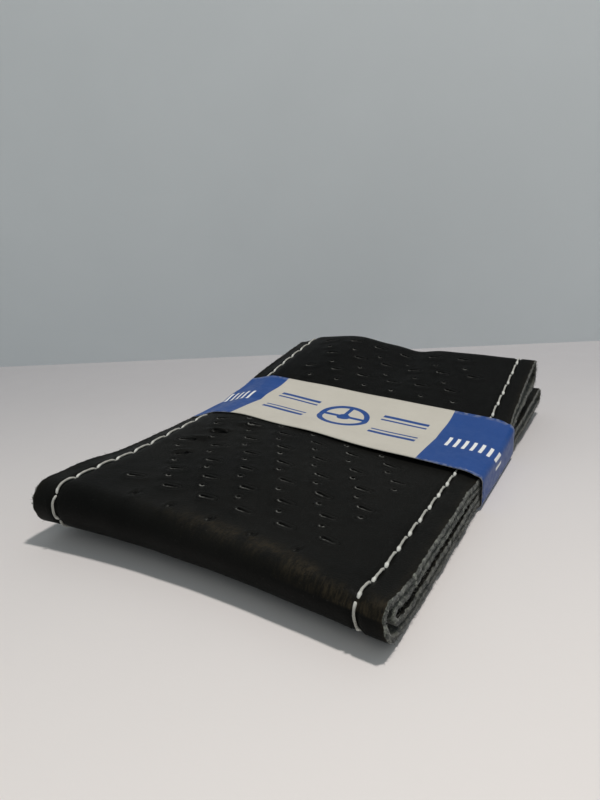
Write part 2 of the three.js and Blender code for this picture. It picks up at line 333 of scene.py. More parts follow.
    def slope(self, layer: int, x: np.ndarray, y: np.ndarray) -> np.ndarray:
        """Slope of a layer along the bundle."""
        return self.layer_height(layer, x, y + 0.5) - self.layer_height(layer, x, y - 0.5)

    def fold_start(self, lower: int, upper: int, x: np.ndarray, end: np.ndarray, way: int) -> np.ndarray:
        """Where a fold leaves its layers so that its outer surface reaches the given end."""
        spacing = self.layer_height(upper, x, end) - self.layer_height(lower, x, end)
        return end - way * (spacing / 2 + self.thickness / 2)

    def fold(
        self, source: int, target: int, x: np.ndarray, end: np.ndarray, way: int, steps: int
    ) -> tuple[np.ndarray, np.ndarray]:
        """The middle line of a fold from one layer to the next.

        Args:
            source: The layer that the line comes from.
            target: The layer that it goes to.
            x: Places across the strip.
            end: The place on Y that the outer surface reaches.
            way: The direction in which the fold bulges, -1 or 1.
            steps: How many steps the fold is divided into.

        Returns:
            Y and Z of the line, one row for each step between its two ends.
        """
        start = self.fold_start(min(source, target), max(source, target), x, end, way)
        first = self.layer_height(source, x, start)
        last = self.layer_height(target, x, start)
        handle = np.abs(first - last) * 2 / 3
        run_in = self.slope(source, x, start)
        run_out = self.slope(target, x, start)
        ys, zs = [], []
        for step in range(1, steps):
            t = step / steps
            weights = ((1 - t) ** 3, 3 * t * (1 - t) ** 2, 3 * t * t * (1 - t), t**3)
            reach_in = way * handle / np.hypot(1, run_in)
            reach_out = way * handle / np.hypot(1, run_out)
            ys.append(start + weights[1] * reach_in + weights[2] * reach_out)
            zs.append(
                weights[0] * first
                + weights[1] * (first + reach_in * run_in)
                + weights[2] * (last + reach_out * run_out)
                + weights[3] * last
            )
        return np.array(ys), np.array(zs)


@dataclass
class StripLine:
    """The strip's middle surface, one row per step from its one butted end to the other."""

    y: np.ndarray
    z: np.ndarray
    layer: np.ndarray
    normal_y: np.ndarray = field(init=False)
    normal_z: np.ndarray = field(init=False)
    travel: np.ndarray = field(init=False)

    def __post_init__(self) -> None:
        """Works out the direction to the grain side and the distance along the strip."""
        run_y, run_z = np.gradient(self.y, axis=0), np.gradient(self.z, axis=0)
        length = np.hypot(run_y, run_z)
        self.normal_y, self.normal_z = -run_z / length, run_y / length
        steps = np.hypot(np.diff(self.y, axis=0), np.diff(self.z, axis=0))
        self.travel = np.vstack([np.zeros((1, self.y.shape[1])), np.cumsum(steps, axis=0)])


@dataclass(frozen=True)
class StripPath:
    """Follows the strip from one butted end, round the four folds, to the other end."""

    bundle: Bundle
    seen_step: float = 0.75
    hidden_step: float = 1.35
    run_length: float = 140.0
    split_share: float = 0.7
    lower_steps: int = 14
    outer_steps: int = 30
    upper_steps: int = 16
    inner_steps: int = 12

    def trace(self, x: np.ndarray) -> StripLine:
        """Follows the strip at several places across it.

        Args:
            x: Places across the strip.

        Returns:
            The middle surface with one column for each place.
        """
        shape = self.bundle
        middle = np.clip(x / shape.strip_width + 0.5, 0, 1)
        outer = shape.outer_end + shape.outer_hollow * np.sin(math.pi * middle) * (1 - middle / 2)
        inner = outer + shape.inner_inset
        upper = np.full_like(x, shape.upper_end)
        lower = np.full_like(x, shape.lower_end)
        outer_start = shape.fold_start(0, 3, x, outer, -1)
        inner_start = shape.fold_start(1, 2, x, inner, -1)
        upper_start = shape.fold_start(2, 3, x, upper, 1)
        lower_start = shape.fold_start(0, 1, x, lower, 1)
        ys: list[np.ndarray] = []
        zs: list[np.ndarray] = []
        layers: list[int] = []

        def add_run(layer: int, start: np.ndarray, stop: np.ndarray, step: float) -> None:
            """Adds one flat layer between two folds.

            Args:
                layer: The layer, of which 1 is split in two by the butt joint.
                start: Where the run begins on Y.
                stop: Where it ends.
                step: The length of its steps.
            """
            count = max(2, round(self.run_length / step * (self.split_share if layer == 1 else 1.0)))
            for share in np.linspace(0.0, 1.0, count + 1):
                place = start + (stop - start) * share
                ys.append(place)
                zs.append(shape.layer_height(layer, x, place))
                layers.append(layer)

        def add_fold(source: int, target: int, end: np.ndarray, way: int, steps: int) -> None:
            """Adds one fold between two layers.

            Args:
                source: The layer that the strip comes from.
                target: The layer that it goes to.
                end: The place on Y that the outer surface reaches.
                way: The direction in which the fold bulges.
                steps: How many steps the fold is divided into.
            """
            fold_y, fold_z = shape.fold(source, target, x, end, way, steps)
            ys.extend(fold_y)
            zs.extend(fold_z)
            layers.extend([source] * (steps // 2) + [target] * (steps - 1 - steps // 2))

        half_gap = shape.joint_gap / 2
        add_run(1, np.full_like(x, shape.joint_at + half_gap), lower_start, self.hidden_step)
        add_fold(1, 0, lower, 1, self.lower_steps)
        add_run(0, lower_start, outer_start, self.hidden_step)
        add_fold(0, 3, outer, -1, self.outer_steps)
        add_run(3, outer_start, upper_start, self.seen_step)
        add_fold(3, 2, upper, 1, self.upper_steps)
        add_run(2, upper_start, inner_start, self.hidden_step)
        add_fold(2, 1, inner, -1, self.inner_steps)
        add_run(1, inner_start, np.full_like(x, shape.joint_at - half_gap), self.hidden_step)
        return StripLine(np.array(ys), np.array(zs), np.array(layers))


# Node trees


def opaque(colour: object) -> object:
    """Adds full alpha to a plain colour, and leaves a socket as it is."""
    return colour if isinstance(colour, bpy.types.NodeSocket) else (*colour, 1.0)


@dataclass(frozen=True)
class Board:
    """Adds nodes to one tree and joins them."""

    tree: bpy.types.NodeTree

    def add(self, kind: str, inputs: dict | None = None, **settings: object) -> bpy.types.Node:
        """Adds one node.

        Args:
            kind: The node's type name.
            inputs: Values or sockets for its inputs, by name or number.
            settings: Values for the node's own properties.

        Returns:
            The new node.
        """
        node = self.tree.nodes.new(kind)
        for name, value in settings.items():
            setattr(node, name, value)
        self.feed(node, inputs or {})
        return node

    def feed(self, node: bpy.types.Node, inputs: dict) -> None:
        """Joins a node's inputs to sockets, or sets their values.

        Args:
            node: The node.
            inputs: Values or sockets by the name or number of the input.
        """
        for key, value in inputs.items():
            if isinstance(value, bpy.types.NodeSocket):
                self.tree.links.new(value, node.inputs[key])
            else:
                node.inputs[key].default_value = value

    def maths(self, operation: str, *values: object) -> bpy.types.NodeSocket:
        """Adds a Math node on the given values and gives its result."""
        return self.add("ShaderNodeMath", dict(enumerate(values)), operation=operation).outputs[0]

    def product(self, first: object, second: object) -> bpy.types.NodeSocket:
        """Multiplies two values."""
        return self.maths("MULTIPLY", first, second)

    def greatest(self, *masks: object) -> bpy.types.NodeSocket:
        """Gives the greatest of several masks."""
        return reduce(lambda first, second: self.maths("MAXIMUM", first, second), masks)

    def blend(self, factor: object, first: object, second: object) -> bpy.types.NodeSocket:
        """Mixes two colours and gives the result."""
        inputs = {0: factor, 6: opaque(first), 7: opaque(second)}
        return self.add("ShaderNodeMix", inputs, data_type="RGBA").outputs[2]

    def rise(
        self, value: object, low: float, high: float, start: float = 0.0, end: float = 1.0
    ) -> bpy.types.NodeSocket:
        """Turns a value into a smooth step between two levels."""
        inputs = {"Value": value, "From Min": low, "From Max": high, "To Min": start, "To Max": end}
        return self.add("ShaderNodeMapRange", inputs, interpolation_type="SMOOTHSTEP").outputs[0]

    def noise(
        self, vector: object, scale: object, detail: float = 3.0, rough: float = 0.55
    ) -> bpy.types.NodeSocket:
        """Adds a noise texture and gives its value."""
        inputs = {"Vector": vector, "Scale": scale, "Detail": detail, "Roughness": rough}
        return self.add("ShaderNodeTexNoise", inputs).outputs[0]

    def stretch(self, vector: object, scale: tuple[float, float, float]) -> bpy.types.NodeSocket:
        """Scales a vector, so that what is drawn with it stretches."""
        return self.add("ShaderNodeMapping", {"Vector": vector, "Scale": scale}).outputs[0]

    def place(self) -> bpy.types.NodeSocket:
        """Gives the place on the object, in metres."""
        return self.add("ShaderNodeTexCoord").outputs["Object"]

    def stored(self, name: str) -> bpy.types.NodeSocket:
        """Gives a number stored on the mesh."""
        return self.add("ShaderNodeAttribute", attribute_name=name).outputs["Fac"]

    def group(self, tree: bpy.types.NodeTree, inputs: dict) -> bpy.types.Node:
        """Places a node group with its own values."""
        return self.add("ShaderNodeGroup", inputs, node_tree=tree)


@dataclass
class EffectGroups:
    """Shader node groups that several finishes share."""

    built: dict[str, bpy.types.NodeTree] = field(default_factory=dict)
    lint: Colour = (0.42, 0.40, 0.37)
    grain_warp: tuple[float, float, float] = (0.0009, 0.0009, 0.0009)

    def start(
        self, name: str, inputs: dict[str, tuple[str, object]], outputs: dict[str, str]
    ) -> tuple[Board, bpy.types.Node, bpy.types.Node]:
        """Opens an empty group with its sockets.

        Args:
            name: The name of the group.
            inputs: Socket type and first value of each input.
            outputs: Socket type of each output.

        Returns:
            The board to build on, the input node and the output node.
        """
        tree = bpy.data.node_groups.new(name, "ShaderNodeTree")
        for label, (kind, value) in inputs.items():
            socket = tree.interface.new_socket(name=label, in_out="INPUT", socket_type=kind)
            if value is not None:
                socket.default_value = value
        for label, kind in outputs.items():
            tree.interface.new_socket(name=label, in_out="OUTPUT", socket_type=kind)
        self.built[name] = tree
        board = Board(tree)
        return board, board.add("NodeGroupInput"), board.add("NodeGroupOutput")

    def clouds(self) -> bpy.types.NodeTree:
        """Broad uneven tone: a mask that drifts over several millimetres.

        Returns:
            The node group.
        """
        if "soft_clouds" not in self.built:
            board, source, sink = self.start(
                "soft_clouds",
                {"Vector": ("NodeSocketVector", None), "Scale": ("NodeSocketFloat", 60.0)},
                {"Mask": "NodeSocketFloat"},
            )
            value = board.noise(source.outputs["Vector"], source.outputs["Scale"], 4.0, 0.6)
            board.tree.links.new(board.rise(value, 0.3, 0.7), sink.inputs["Mask"])
        return self.built["soft_clouds"]

    def grain(self) -> bpy.types.NodeTree:
        """Leather grain: low pebbles with narrow valleys and scattered pores.

        Returns:
            The node group.
        """
        if "leather_grain" not in self.built:
            board, source, sink = self.start(
                "leather_grain",
                {"Vector": ("NodeSocketVector", None), "Pebble Scale": ("NodeSocketFloat", 1100.0)},
                {"Height": "NodeSocketFloat", "Valley": "NodeSocketFloat"},
            )
            warp = board.add(
                "ShaderNodeTexNoise", {"Vector": source.outputs["Vector"], "Scale": 700.0, "Detail": 2.0}
            )
            nudge = board.add(
                "ShaderNodeVectorMath", {0: warp.outputs[1], 1: self.grain_warp}, operation="MULTIPLY"
            ).outputs[0]
            moved = board.add(
                "ShaderNodeVectorMath", {0: source.outputs["Vector"], 1: nudge}, operation="ADD"
            ).outputs[0]
            pebbles = {"Vector": moved, "Scale": source.outputs["Pebble Scale"]}
            cells = board.add("ShaderNodeTexVoronoi", pebbles, feature="DISTANCE_TO_EDGE")
            valley = board.rise(cells.outputs["Distance"], 0.0, 0.16, 1.0, 0.0)
            pores = board.rise(board.noise(source.outputs["Vector"], 2600.0, 2.0), 0.62, 0.72)
            sunk = board.maths("ADD", board.product(valley, 0.7), board.product(pores, 0.5))
            board.tree.links.new(board.maths("SUBTRACT", 1.0, sunk), sink.inputs["Height"])
            board.tree.links.new(valley, sink.inputs["Valley"])
        return self.built["leather_grain"]

    def fibres(self) -> bpy.types.NodeTree:
        """Matted fibres, as on a cut leather edge or on thread.

        Returns:
            The node group.
        """
        if "matted_fibres" not in self.built:
            board, source, sink = self.start(
                "matted_fibres",
                {"Vector": ("NodeSocketVector", None), "Scale": ("NodeSocketFloat", 1500.0)},
                {"Height": "NodeSocketFloat", "Shade": "NodeSocketFloat"},
            )
            drawn = board.stretch(source.outputs["Vector"], (1.0, 0.35, 1.0))
            matting = {"Vector": drawn, "Scale": source.outputs["Scale"], "Detail": 4.0, "Distortion": 1.2}
            strands = board.add("ShaderNodeTexNoise", matting)
            lumps = board.noise(source.outputs["Vector"], 420.0, 3.0)
            height = board.maths("ADD", strands.outputs[0], board.product(lumps, 0.8))
            board.tree.links.new(height, sink.inputs["Height"])
            board.tree.links.new(board.rise(height, 0.65, 1.15), sink.inputs["Shade"])
        return self.built["matted_fibres"]

    def dust(self) -> bpy.types.NodeTree:
        """Fine settled dust and lint that lightens a colour in specks.

        Returns:
            The node group.
        """
        if "settled_dust" not in self.built:
            board, source, sink = self.start(
                "settled_dust",
                {
                    "Color": ("NodeSocketColor", (0.5, 0.5, 0.5, 1.0)),
                    "Vector": ("NodeSocketVector", None),
                    "Amount": ("NodeSocketFloat", 0.3),
                },
                {"Color": "NodeSocketColor"},
            )
            specks = board.rise(board.noise(source.outputs["Vector"], 1900.0, 2.0), 0.68, 0.8)
            patches = board.rise(board.noise(source.outputs["Vector"], 70.0, 3.0), 0.4, 0.65)
            amount = board.product(board.product(specks, patches), source.outputs["Amount"])
            mixed = board.blend(amount, source.outputs["Color"], self.lint)
            board.tree.links.new(mixed, sink.inputs["Color"])
        return self.built["settled_dust"]


def open_material(name: str) -> tuple[bpy.types.Material, Board, bpy.types.Node]:
    """Starts a node material.

    Args:
        name: The name of the material.

    Returns:
        The material, its board and its Principled shader.
    """
    material = bpy.data.materials.new(name)
    material.use_nodes = True
    return material, Board(material.node_tree), material.node_tree.nodes["Principled BSDF"]


def set_bump(
    board: Board, shader: bpy.types.Node, height: object, distance: float, strength: float = 1.0
) -> None:
    """Feeds a height to a shader's normal.

    Args:
        board: The board of the material.
        shader: The Principled shader.
        height: The socket with the height.
        distance: The height of 1, in metres.
        strength: How much of the bump is used.
    """
    inputs = {"Strength": strength, "Distance": distance, "Height": height}
    board.tree.links.new(board.add("ShaderNodeBump", inputs).outputs[0], shader.inputs["Normal"])


@dataclass(frozen=True)
class GrainFinish:
    """Black dyed grain side of the leather, satin, browner where it is worn over the fold, with painted
    shade towards the far end and in the pits of the marks, and a painted highlight on their lips.
    """

    effects: EffectGroups
    name: str = "black_grain_leather"
    dye: Colour = (0.0046, 0.0047, 0.0042)
    faded: Colour = (0.0078, 0.0077, 0.0068)
    worn: Colour = (0.046, 0.036, 0.022)
    # Colour of the painted highlight on the near side of the marks' lips.
    painted_lip_highlight: Colour = (0.20, 0.197, 0.18)
    # Colour of the painted shade towards the far end.
    painted_far_shade: Colour = (0.0022, 0.0024, 0.0023)
    # Colour of the painted shade in the pits of the marks.
    painted_pit_shade: Colour = (0.0015, 0.0015, 0.0015)
    pebble_scale: float = 1250.0
    specular: float = 0.04
    relief: float = 0.00005
    smoothness: tuple[float, float] = (0.42, 0.56)

    def build(self) -> bpy.types.Material:
        """Builds the material.

        Returns:
            The material.
        """
        material, board, shader = open_material(self.name)
        place = board.place()
        grain = board.group(self.effects.grain(), {"Vector": place, "Pebble Scale": self.pebble_scale})
        tone = board.group(self.effects.clouds(), {"Vector": place, "Scale": 45.0}).outputs["Mask"]
        colour = board.blend(tone, self.dye, self.faded)
        # Painted shade: the leather darkens towards the far end along Y.
        along = board.add("ShaderNodeSeparateXYZ", {0: place}).outputs[1]
        painted_far_shade_mask = board.rise(along, 0.005, 0.035, 0.0, 0.75)
        colour = board.blend(painted_far_shade_mask, colour, self.painted_far_shade)
        streaks = board.noise(board.stretch(place, (1.0, 0.28, 0.28)), 1700.0, 5.0, 0.75)
        patches = board.rise(board.noise(place, 150.0, 3.0), 0.3, 0.62)
        cracked = board.product(board.rise(streaks, 0.40, 0.62, 0.18, 1.0), patches)
        worn = board.product(board.stored("worn"), cracked)
        colour = board.blend(board.product(worn, 0.62), colour, self.worn)
        dusty = board.group(self.effects.dust(), {"Color": colour, "Vector": place, "Amount": 0.12})
        # Painted highlight: the near side of each mark's lip is painted light.
        patchy = board.rise(board.noise(place, 1500.0, 3.0), 0.34, 0.6)
        crest = board.product(board.stored("crest"), patchy)
        rubbed_and_highlit = board.blend(crest, dusty.outputs["Color"], self.painted_lip_highlight)
        # Painted shade: the pits of the marks are painted darker.
        inside = board.blend(board.stored("pit_shade_mask"), rubbed_and_highlit, self.painted_pit_shade)
        board.tree.links.new(inside, shader.inputs["Base Color"])
        polish = board.noise(place, 260.0, 3.0)
        dulled = board.maths("ADD", polish, board.product(worn, 0.35))
        gloss = board.rise(board.maths("SUBTRACT", dulled, crest), 0.3, 0.95, *self.smoothness)
        board.tree.links.new(gloss, shader.inputs["Roughness"])
        shader.inputs["Specular IOR Level"].default_value = self.specular
        crease = board.product(board.stored("worn"), board.product(streaks, 2.2))
        height = board.maths("ADD", grain.outputs["Height"], crease)
        set_bump(board, shader, height, self.relief, 0.7)
        return material


@dataclass(frozen=True)
class FleshFinish:
    """Suede flesh side and cut edges: grey green, matted and dull, with painted shade low down and towards
    the far end.
    """

    effects: EffectGroups
    name: str = "grey_flesh_leather"
    deep: Colour = (0.024, 0.026, 0.021)
    pale: Colour = (0.21, 0.22, 0.185)
    # Colour of the painted shade low down and towards the far end.
    painted_edge_shade: Colour = (0.060, 0.060, 0.046)
    smoky: Colour = (0.035, 0.034, 0.028)
    spotted: Colour = (0.007, 0.009, 0.007)
    fibre_scale: float = 1500.0
    specular: float = 0.2
    sheen: float = 0.25
    sheen_roughness: float = 0.6
    relief: float = 0.00022

    def build(self) -> bpy.types.Material:
        """Builds the material.

        Returns:
            The material.
        """
        material, board, shader = open_material(self.name)
        place = board.place()
        fuzz = board.group(self.effects.fibres(), {"Vector": place, "Scale": self.fibre_scale})
        colour = board.blend(fuzz.outputs["Shade"], self.deep, self.pale)
        tone = board.group(self.effects.clouds(), {"Vector": place, "Scale": 140.0}).outputs["Mask"]
        colour = board.blend(board.product(tone, 0.35), colour, self.smoky)
        # Painted shade: the flesh and cut edges darken near the floor and towards the far end.
        parts = board.add("ShaderNodeSeparateXYZ", {0: place}).outputs
        low = board.rise(parts[2], 0.0038, 0.0060, 0.85, 0.0)
        far_edge_shade_mask = board.rise(parts[1], -0.045, 0.02, 0.0, 0.85)
        colour = board.blend(board.maths("MAXIMUM", low, far_edge_shade_mask), colour, self.painted_edge_shade)
        spots = board.rise(board.noise(place, 620.0, 4.0, 0.65), 0.47, 0.57)
        colour = board.blend(board.product(spots, 0.88), colour, self.spotted)
        board.tree.links.new(colour, shader.inputs["Base Color"])
        rough = board.rise(fuzz.outputs["Shade"], 0.0, 1.0, 0.86, 0.97)
        board.tree.links.new(rough, shader.inputs["Roughness"])
        shader.inputs["Specular IOR Level"].default_value = self.specular
        shader.inputs["Sheen Weight"].default_value = self.sheen
        shader.inputs["Sheen Roughness"].default_value = self.sheen_roughness
        set_bump(board, shader, fuzz.outputs["Height"], self.relief)
        return material


@dataclass(frozen=True)
class ThreadFinish:
    """Waxed sewing thread, with fine fibres, a little dirt and a painted highlight on the bead at each end
    of a stitch.
    """

    effects: EffectGroups
    name: str
    # Colour of the painted highlight on the beads.
    bead_highlight_colour: Colour
    used: Colour
    soiled: Colour
    fibre_scale: float = 4200.0
    sheen: float = 0.15
    relief: float = 0.00005

    def build(self) -> bpy.types.Material:
        """Builds the material.

        Returns:
            The material.
        """
        material, board, shader = open_material(self.name)
        place = board.place()
        fuzz = board.group(self.effects.fibres(), {"Vector": place, "Scale": self.fibre_scale})
        tone = board.group(self.effects.clouds(), {"Vector": place, "Scale": 210.0}).outputs["Mask"]
        colour = board.blend(board.product(tone, 0.6), self.used, self.soiled)
        # Painted highlight: the beads at both ends of each stitch are painted lighter, together with the
        # lighter fibres.
        bright = board.greatest(board.stored("bead_highlight"), board.product(fuzz.outputs["Shade"], 0.3))
        lit = board.blend(bright, colour, self.bead_highlight_colour)
        board.tree.links.new(lit, shader.inputs["Base Color"])
        rough = board.rise(fuzz.outputs["Shade"], 0.0, 1.0, 0.5, 0.72)
        board.tree.links.new(rough, shader.inputs["Roughness"])
        shader.inputs["Sheen Weight"].default_value = self.sheen
        set_bump(board, shader, fuzz.outputs["Height"], self.relief)
        return material


@dataclass(frozen=True)
class PaperFinish:
    """Satin printed paper: a cream field between blue ends, plain bars and a plain wheel ring."""

    effects: EffectGroups
    name: str = "printed_band_paper"
    cream: Colour = (0.55, 0.515, 0.445)
    blue: Colour = (0.010, 0.058, 0.235)
    white: Colour = (0.78, 0.78, 0.76)
    field_half: float = 31.0
    blue_end: float = 62.0
    cream_shade: Colour = (0.50, 0.465, 0.40)
    blue_shade: Colour = (0.009, 0.050, 0.21)
    rubbed_and_highlit: Colour = (0.60, 0.58, 0.53)
    comb_pitch: float = 2.45
    comb_bar: float = 0.98
    comb_count: int = 8
    right_comb: tuple[float, float, float] = (33.9, -1.4, 3.1)
    left_comb: tuple[float, float, float] = (35.4, 1.4, 3.0)
    wide_stripe: tuple[float, float] = (6.4, 0.8)
    thin_stripe: tuple[float, float] = (3.9, 0.45)
    stripes_from: float = 11.45
    stripes_to: float = 26.45
    ring_radius: float = 7.6
    ring_half: float = 0.9
    hub_radius: float = 2.1
    spoke_half: float = 0.7
    spoke_at: float = 0.4
    crisp: float = 0.1
    bar_blur: float = 0.06
    specular: float = 0.22
    relief: float = 0.00004

    def bar(self, board: Board, value: object, centre: float, half: float) -> bpy.types.NodeSocket:
        """A mask that is 1 inside a bar and 0 outside, with a crisp printed edge."""
        away = board.maths("ABSOLUTE", board.maths("SUBTRACT", value, centre))
        return board.rise(away, half - self.bar_blur, half + self.bar_blur, 1.0, 0.0)

    def comb(self, board: Board, value: object, start: float) -> bpy.types.NodeSocket:
        """A mask of evenly spaced bars.

        Args:
            board: The board of the material.
            value: The distance across the bars.
            start: Where the comb begins.

        Returns:
            The mask, 1 on each bar.
        """
        end = start + self.comb_count * self.comb_pitch
        edge = (self.comb_pitch - self.comb_bar) / 2
        teeth = board.maths("PINGPONG", board.maths("SUBTRACT", value, start), self.comb_pitch / 2)
        within = board.product(
            board.rise(value, start, start + self.crisp), board.rise(value, end, end + self.crisp, 1.0, 0.0)
        )
        half_crisp = self.crisp / 2
        return board.product(board.rise(teeth, edge - half_crisp, edge + half_crisp), within)

    def stripes(self, board: Board, distance: object, across: object) -> bpy.types.NodeSocket:
        """A mask of the two pairs of stripes on each side of the wheel.

        Args:
            board: The board of the material.
            distance: The distance from the middle of the print, along the band.
            across: The place across the band.

        Returns:
            The mask, 1 on each stripe.
        """
        bars = []
        for centre, half in (self.wide_stripe, self.thin_stripe):
            bars += [self.bar(board, across, centre, half), self.bar(board, across, -centre, half)]
        beside = board.product(
            board.rise(distance, self.stripes_from, self.stripes_from + self.crisp),
            board.rise(distance, self.stripes_to, self.stripes_to + self.crisp, 1.0, 0.0),
        )
        return board.product(board.greatest(*bars), beside)

    def wheel(self, board: Board, along: object, across: object) -> bpy.types.NodeSocket:
        """A mask of a plain steering wheel: a ring, a hub, a level bar and a stem.

        Args:
            board: The board of the material.
            along: The place along the band.
            across: The place across it.

        Returns:
            The mask, 1 on the wheel.
        """
        squares = board.maths("ADD", board.product(along, along), board.product(across, across))
        radius = board.maths("SQRT", squares)
        inside = board.rise(radius, self.ring_radius, self.ring_radius + self.crisp, 1.0, 0.0)
        ring = self.bar(board, radius, self.ring_radius, self.ring_half)
        hub = board.rise(radius, self.hub_radius, self.hub_radius + self.crisp, 1.0, 0.0)
        level = board.product(self.bar(board, across, self.spoke_at, self.spoke_half), inside)
        stem = board.product(self.bar(board, along, 0.0, self.spoke_half), inside)
        stem = board.product(stem, board.rise(across, 0.0, self.crisp))
        return board.greatest(ring, hub, level, stem)

    def build(self) -> bpy.types.Material:
        """Builds the material.

        Returns:
            The material.
        """
        material, board, shader = open_material(self.name)
        place = board.place()
        along = board.stored("print_along")
        across = board.stored("print_across")
        outer_face = board.stored("print_face")
        distance = board.maths("ABSOLUTE", along)
        half_crisp = self.crisp / 2
        inked = board.product(
            board.rise(distance, self.field_half - half_crisp, self.field_half + half_crisp),
            board.rise(distance, self.blue_end - half_crisp, self.blue_end + half_crisp, 1.0, 0.0),
        )
        drawn = board.greatest(self.stripes(board, distance, across), self.wheel(board, along, across))
        inked = board.product(board.greatest(inked, drawn), outer_face)
        backwards = board.product(along, -1.0)
        combs = []
        for value, (start, centre, half) in ((along, self.right_comb), (backwards, self.left_comb)):
            length = self.bar(board, across, centre, half)
            combs.append(board.product(self.comb(board, value, start), length))
        teeth = board.product(board.greatest(*combs), outer_face)
        tone = board.group(self.effects.clouds(), {"Vector": place, "Scale": 90.0}).outputs["Mask"]
        stock = board.blend(board.product(tone, 0.5), self.cream, self.cream_shade)
        ink = board.blend(board.product(tone, 0.5), self.blue, self.blue_shade)
        colour = board.blend(teeth, board.blend(inked, stock, ink), self.white)
        scuffs = board.rise(board.noise(place, 900.0), 0.4, 0.6)
        rubbed_and_highlit = board.product(board.stored("worn"), scuffs)
        colour = board.blend(board.product(rubbed_and_highlit, 0.3), colour, self.rubbed_and_highlit)
        dusty = board.group(self.effects.dust(), {"Color": colour, "Vector": place, "Amount": 0.15})
        board.tree.links.new(dusty.outputs["Color"], shader.inputs["Base Color"])
        rough = board.rise(board.noise(place, 500.0), 0.3, 0.7, 0.34, 0.46)
        board.tree.links.new(rough, shader.inputs["Roughness"])
        shader.inputs["Specular IOR Level"].default_value = self.specular
        lumps = board.product(board.noise(place, 240.0), 2.0)
        pulp = board.maths("ADD", board.noise(place, 3200.0, 2.0), lumps)
        set_bump(board, shader, pulp, self.relief, 0.6)
        return material


@dataclass(frozen=True)
class StudioFinish:
    """Plain matt floor or backdrop with a faint mottled tone; the floor has painted light, lighter away
    from the wall and darker near it.
    """

    effects: EffectGroups
    name: str
    tone: Colour
    shade: Colour
    one_sided: bool = False
    # Colour of the painted light on the floor away from the wall.
    lit: Colour = (0.9, 0.84, 0.8)
    dim_from: float = 0.13
    dim_reach: float = 0.34
    away_from_wall: tuple[float, float, float] = (0.4937, -0.8697, 0.0)
    specular: float = 0.3
    relief: float = 0.00003

    def build(self) -> bpy.types.Material:
        """Builds the material.

        Returns:
            The material.
        """
        material, board, shader = open_material(self.name)
        place = board.place()
        if self.one_sided:
            clear = board.add("ShaderNodeBsdfTransparent").outputs[0]
            behind = board.add("ShaderNodeNewGeometry").outputs["Backfacing"]
            either = board.add("ShaderNodeMixShader", {0: behind, 1: shader.outputs[0], 2: clear})
            output = material.node_tree.nodes["Material Output"]
            board.tree.links.new(either.outputs[0], output.inputs["Surface"])
        mottled = board.group(self.effects.clouds(), {"Vector": place, "Scale": 9.0}).outputs["Mask"]
        colour = board.blend(board.product(mottled, 0.5), self.tone, self.shade)
        if not self.one_sided:
            # Painted light: the floor is lighter away from the wall and keeps painted shade near it.
            from_wall = board.add(
                "ShaderNodeVectorMath", {0: place, 1: self.away_from_wall}, operation="DOT_PRODUCT"
            ).outputs["Value"]
            painted_floor_light = board.rise(from_wall, -self.dim_from, self.dim_reach - self.dim_from)
            colour = board.blend(painted_floor_light, colour, self.lit)
        board.tree.links.new(colour, shader.inputs["Base Color"])
        rough = board.rise(board.noise(place, 60.0), 0.3, 0.7, 0.62, 0.74)
        board.tree.links.new(rough, shader.inputs["Roughness"])
        shader.inputs["Specular IOR Level"].default_value = self.specular
        set_bump(board, shader, board.noise(place, 900.0, 3.0), self.relief, 0.5)
        return material


# The pieces


class Mark(Enum):
    """Kinds of mark in the grain: a slit across the strip, a punched dot or an oval dimple."""

    SLIT = "slit"
    DOT = "dot"
    DIMPLE = "dimple"


# The soft swelling round each mark, the same in the strip and in the rims that lie on it
MARK_SWELL = Hump(0.22, 1.3, 0.75)


@dataclass(frozen=True)
class Perforation:
    """One mark: its kind, centre and slant, the height of its lip and how far it gapes."""

    kind: Mark
    x: float
    y: float
    slant: float
    lip: float
    gape: float
    slit_half: float = 1.45

    def local(self, x: np.ndarray, y: np.ndarray) -> tuple[np.ndarray, np.ndarray]:
        """Gives the distance from the mark's line, and the side of it.

        Args:
            x: Places across the strip.
            y: Places along the bundle.

        Returns:
            The distance from the line that the mark is cut along, and how far beyond it.
        """
        over, off = x - self.x, y - self.y
        along = over * math.cos(self.slant) + off * math.sin(self.slant)
        beside = off * math.cos(self.slant) - over * math.sin(self.slant)
        outside = np.maximum(np.abs(along) - self.half(), 0.0)
        narrow, short = self.squeeze()
        return np.hypot(outside * narrow, beside * short), beside

    def half(self) -> float:
        """Half the straight length of the mark."""
        return self.slit_half if self.kind is Mark.SLIT else 0.0

    def squeeze(self) -> tuple[float, float]:
        """How much narrower the mark is than round, across its line and along the strip."""
        return (1.25, 0.5) if self.kind is Mark.DIMPLE else (0.8, 0.9)

    def taper(self, x: np.ndarray, y: np.ndarray) -> np.ndarray:
        """How far along a slit each place is.

        Args:
            x: Places across the strip.
            y: Places along the bundle.

        Returns:
            The share from 0 at the slit's wide end to 1 at its other end, 0 all over a round mark.
        """
        if self.kind is not Mark.SLIT:
            return np.zeros(x.shape)
        along = (x - self.x) * math.cos(self.slant) + (y - self.y) * math.sin(self.slant)
        return np.clip(along / self.half() * 0.5 + 0.5, 0, 1)


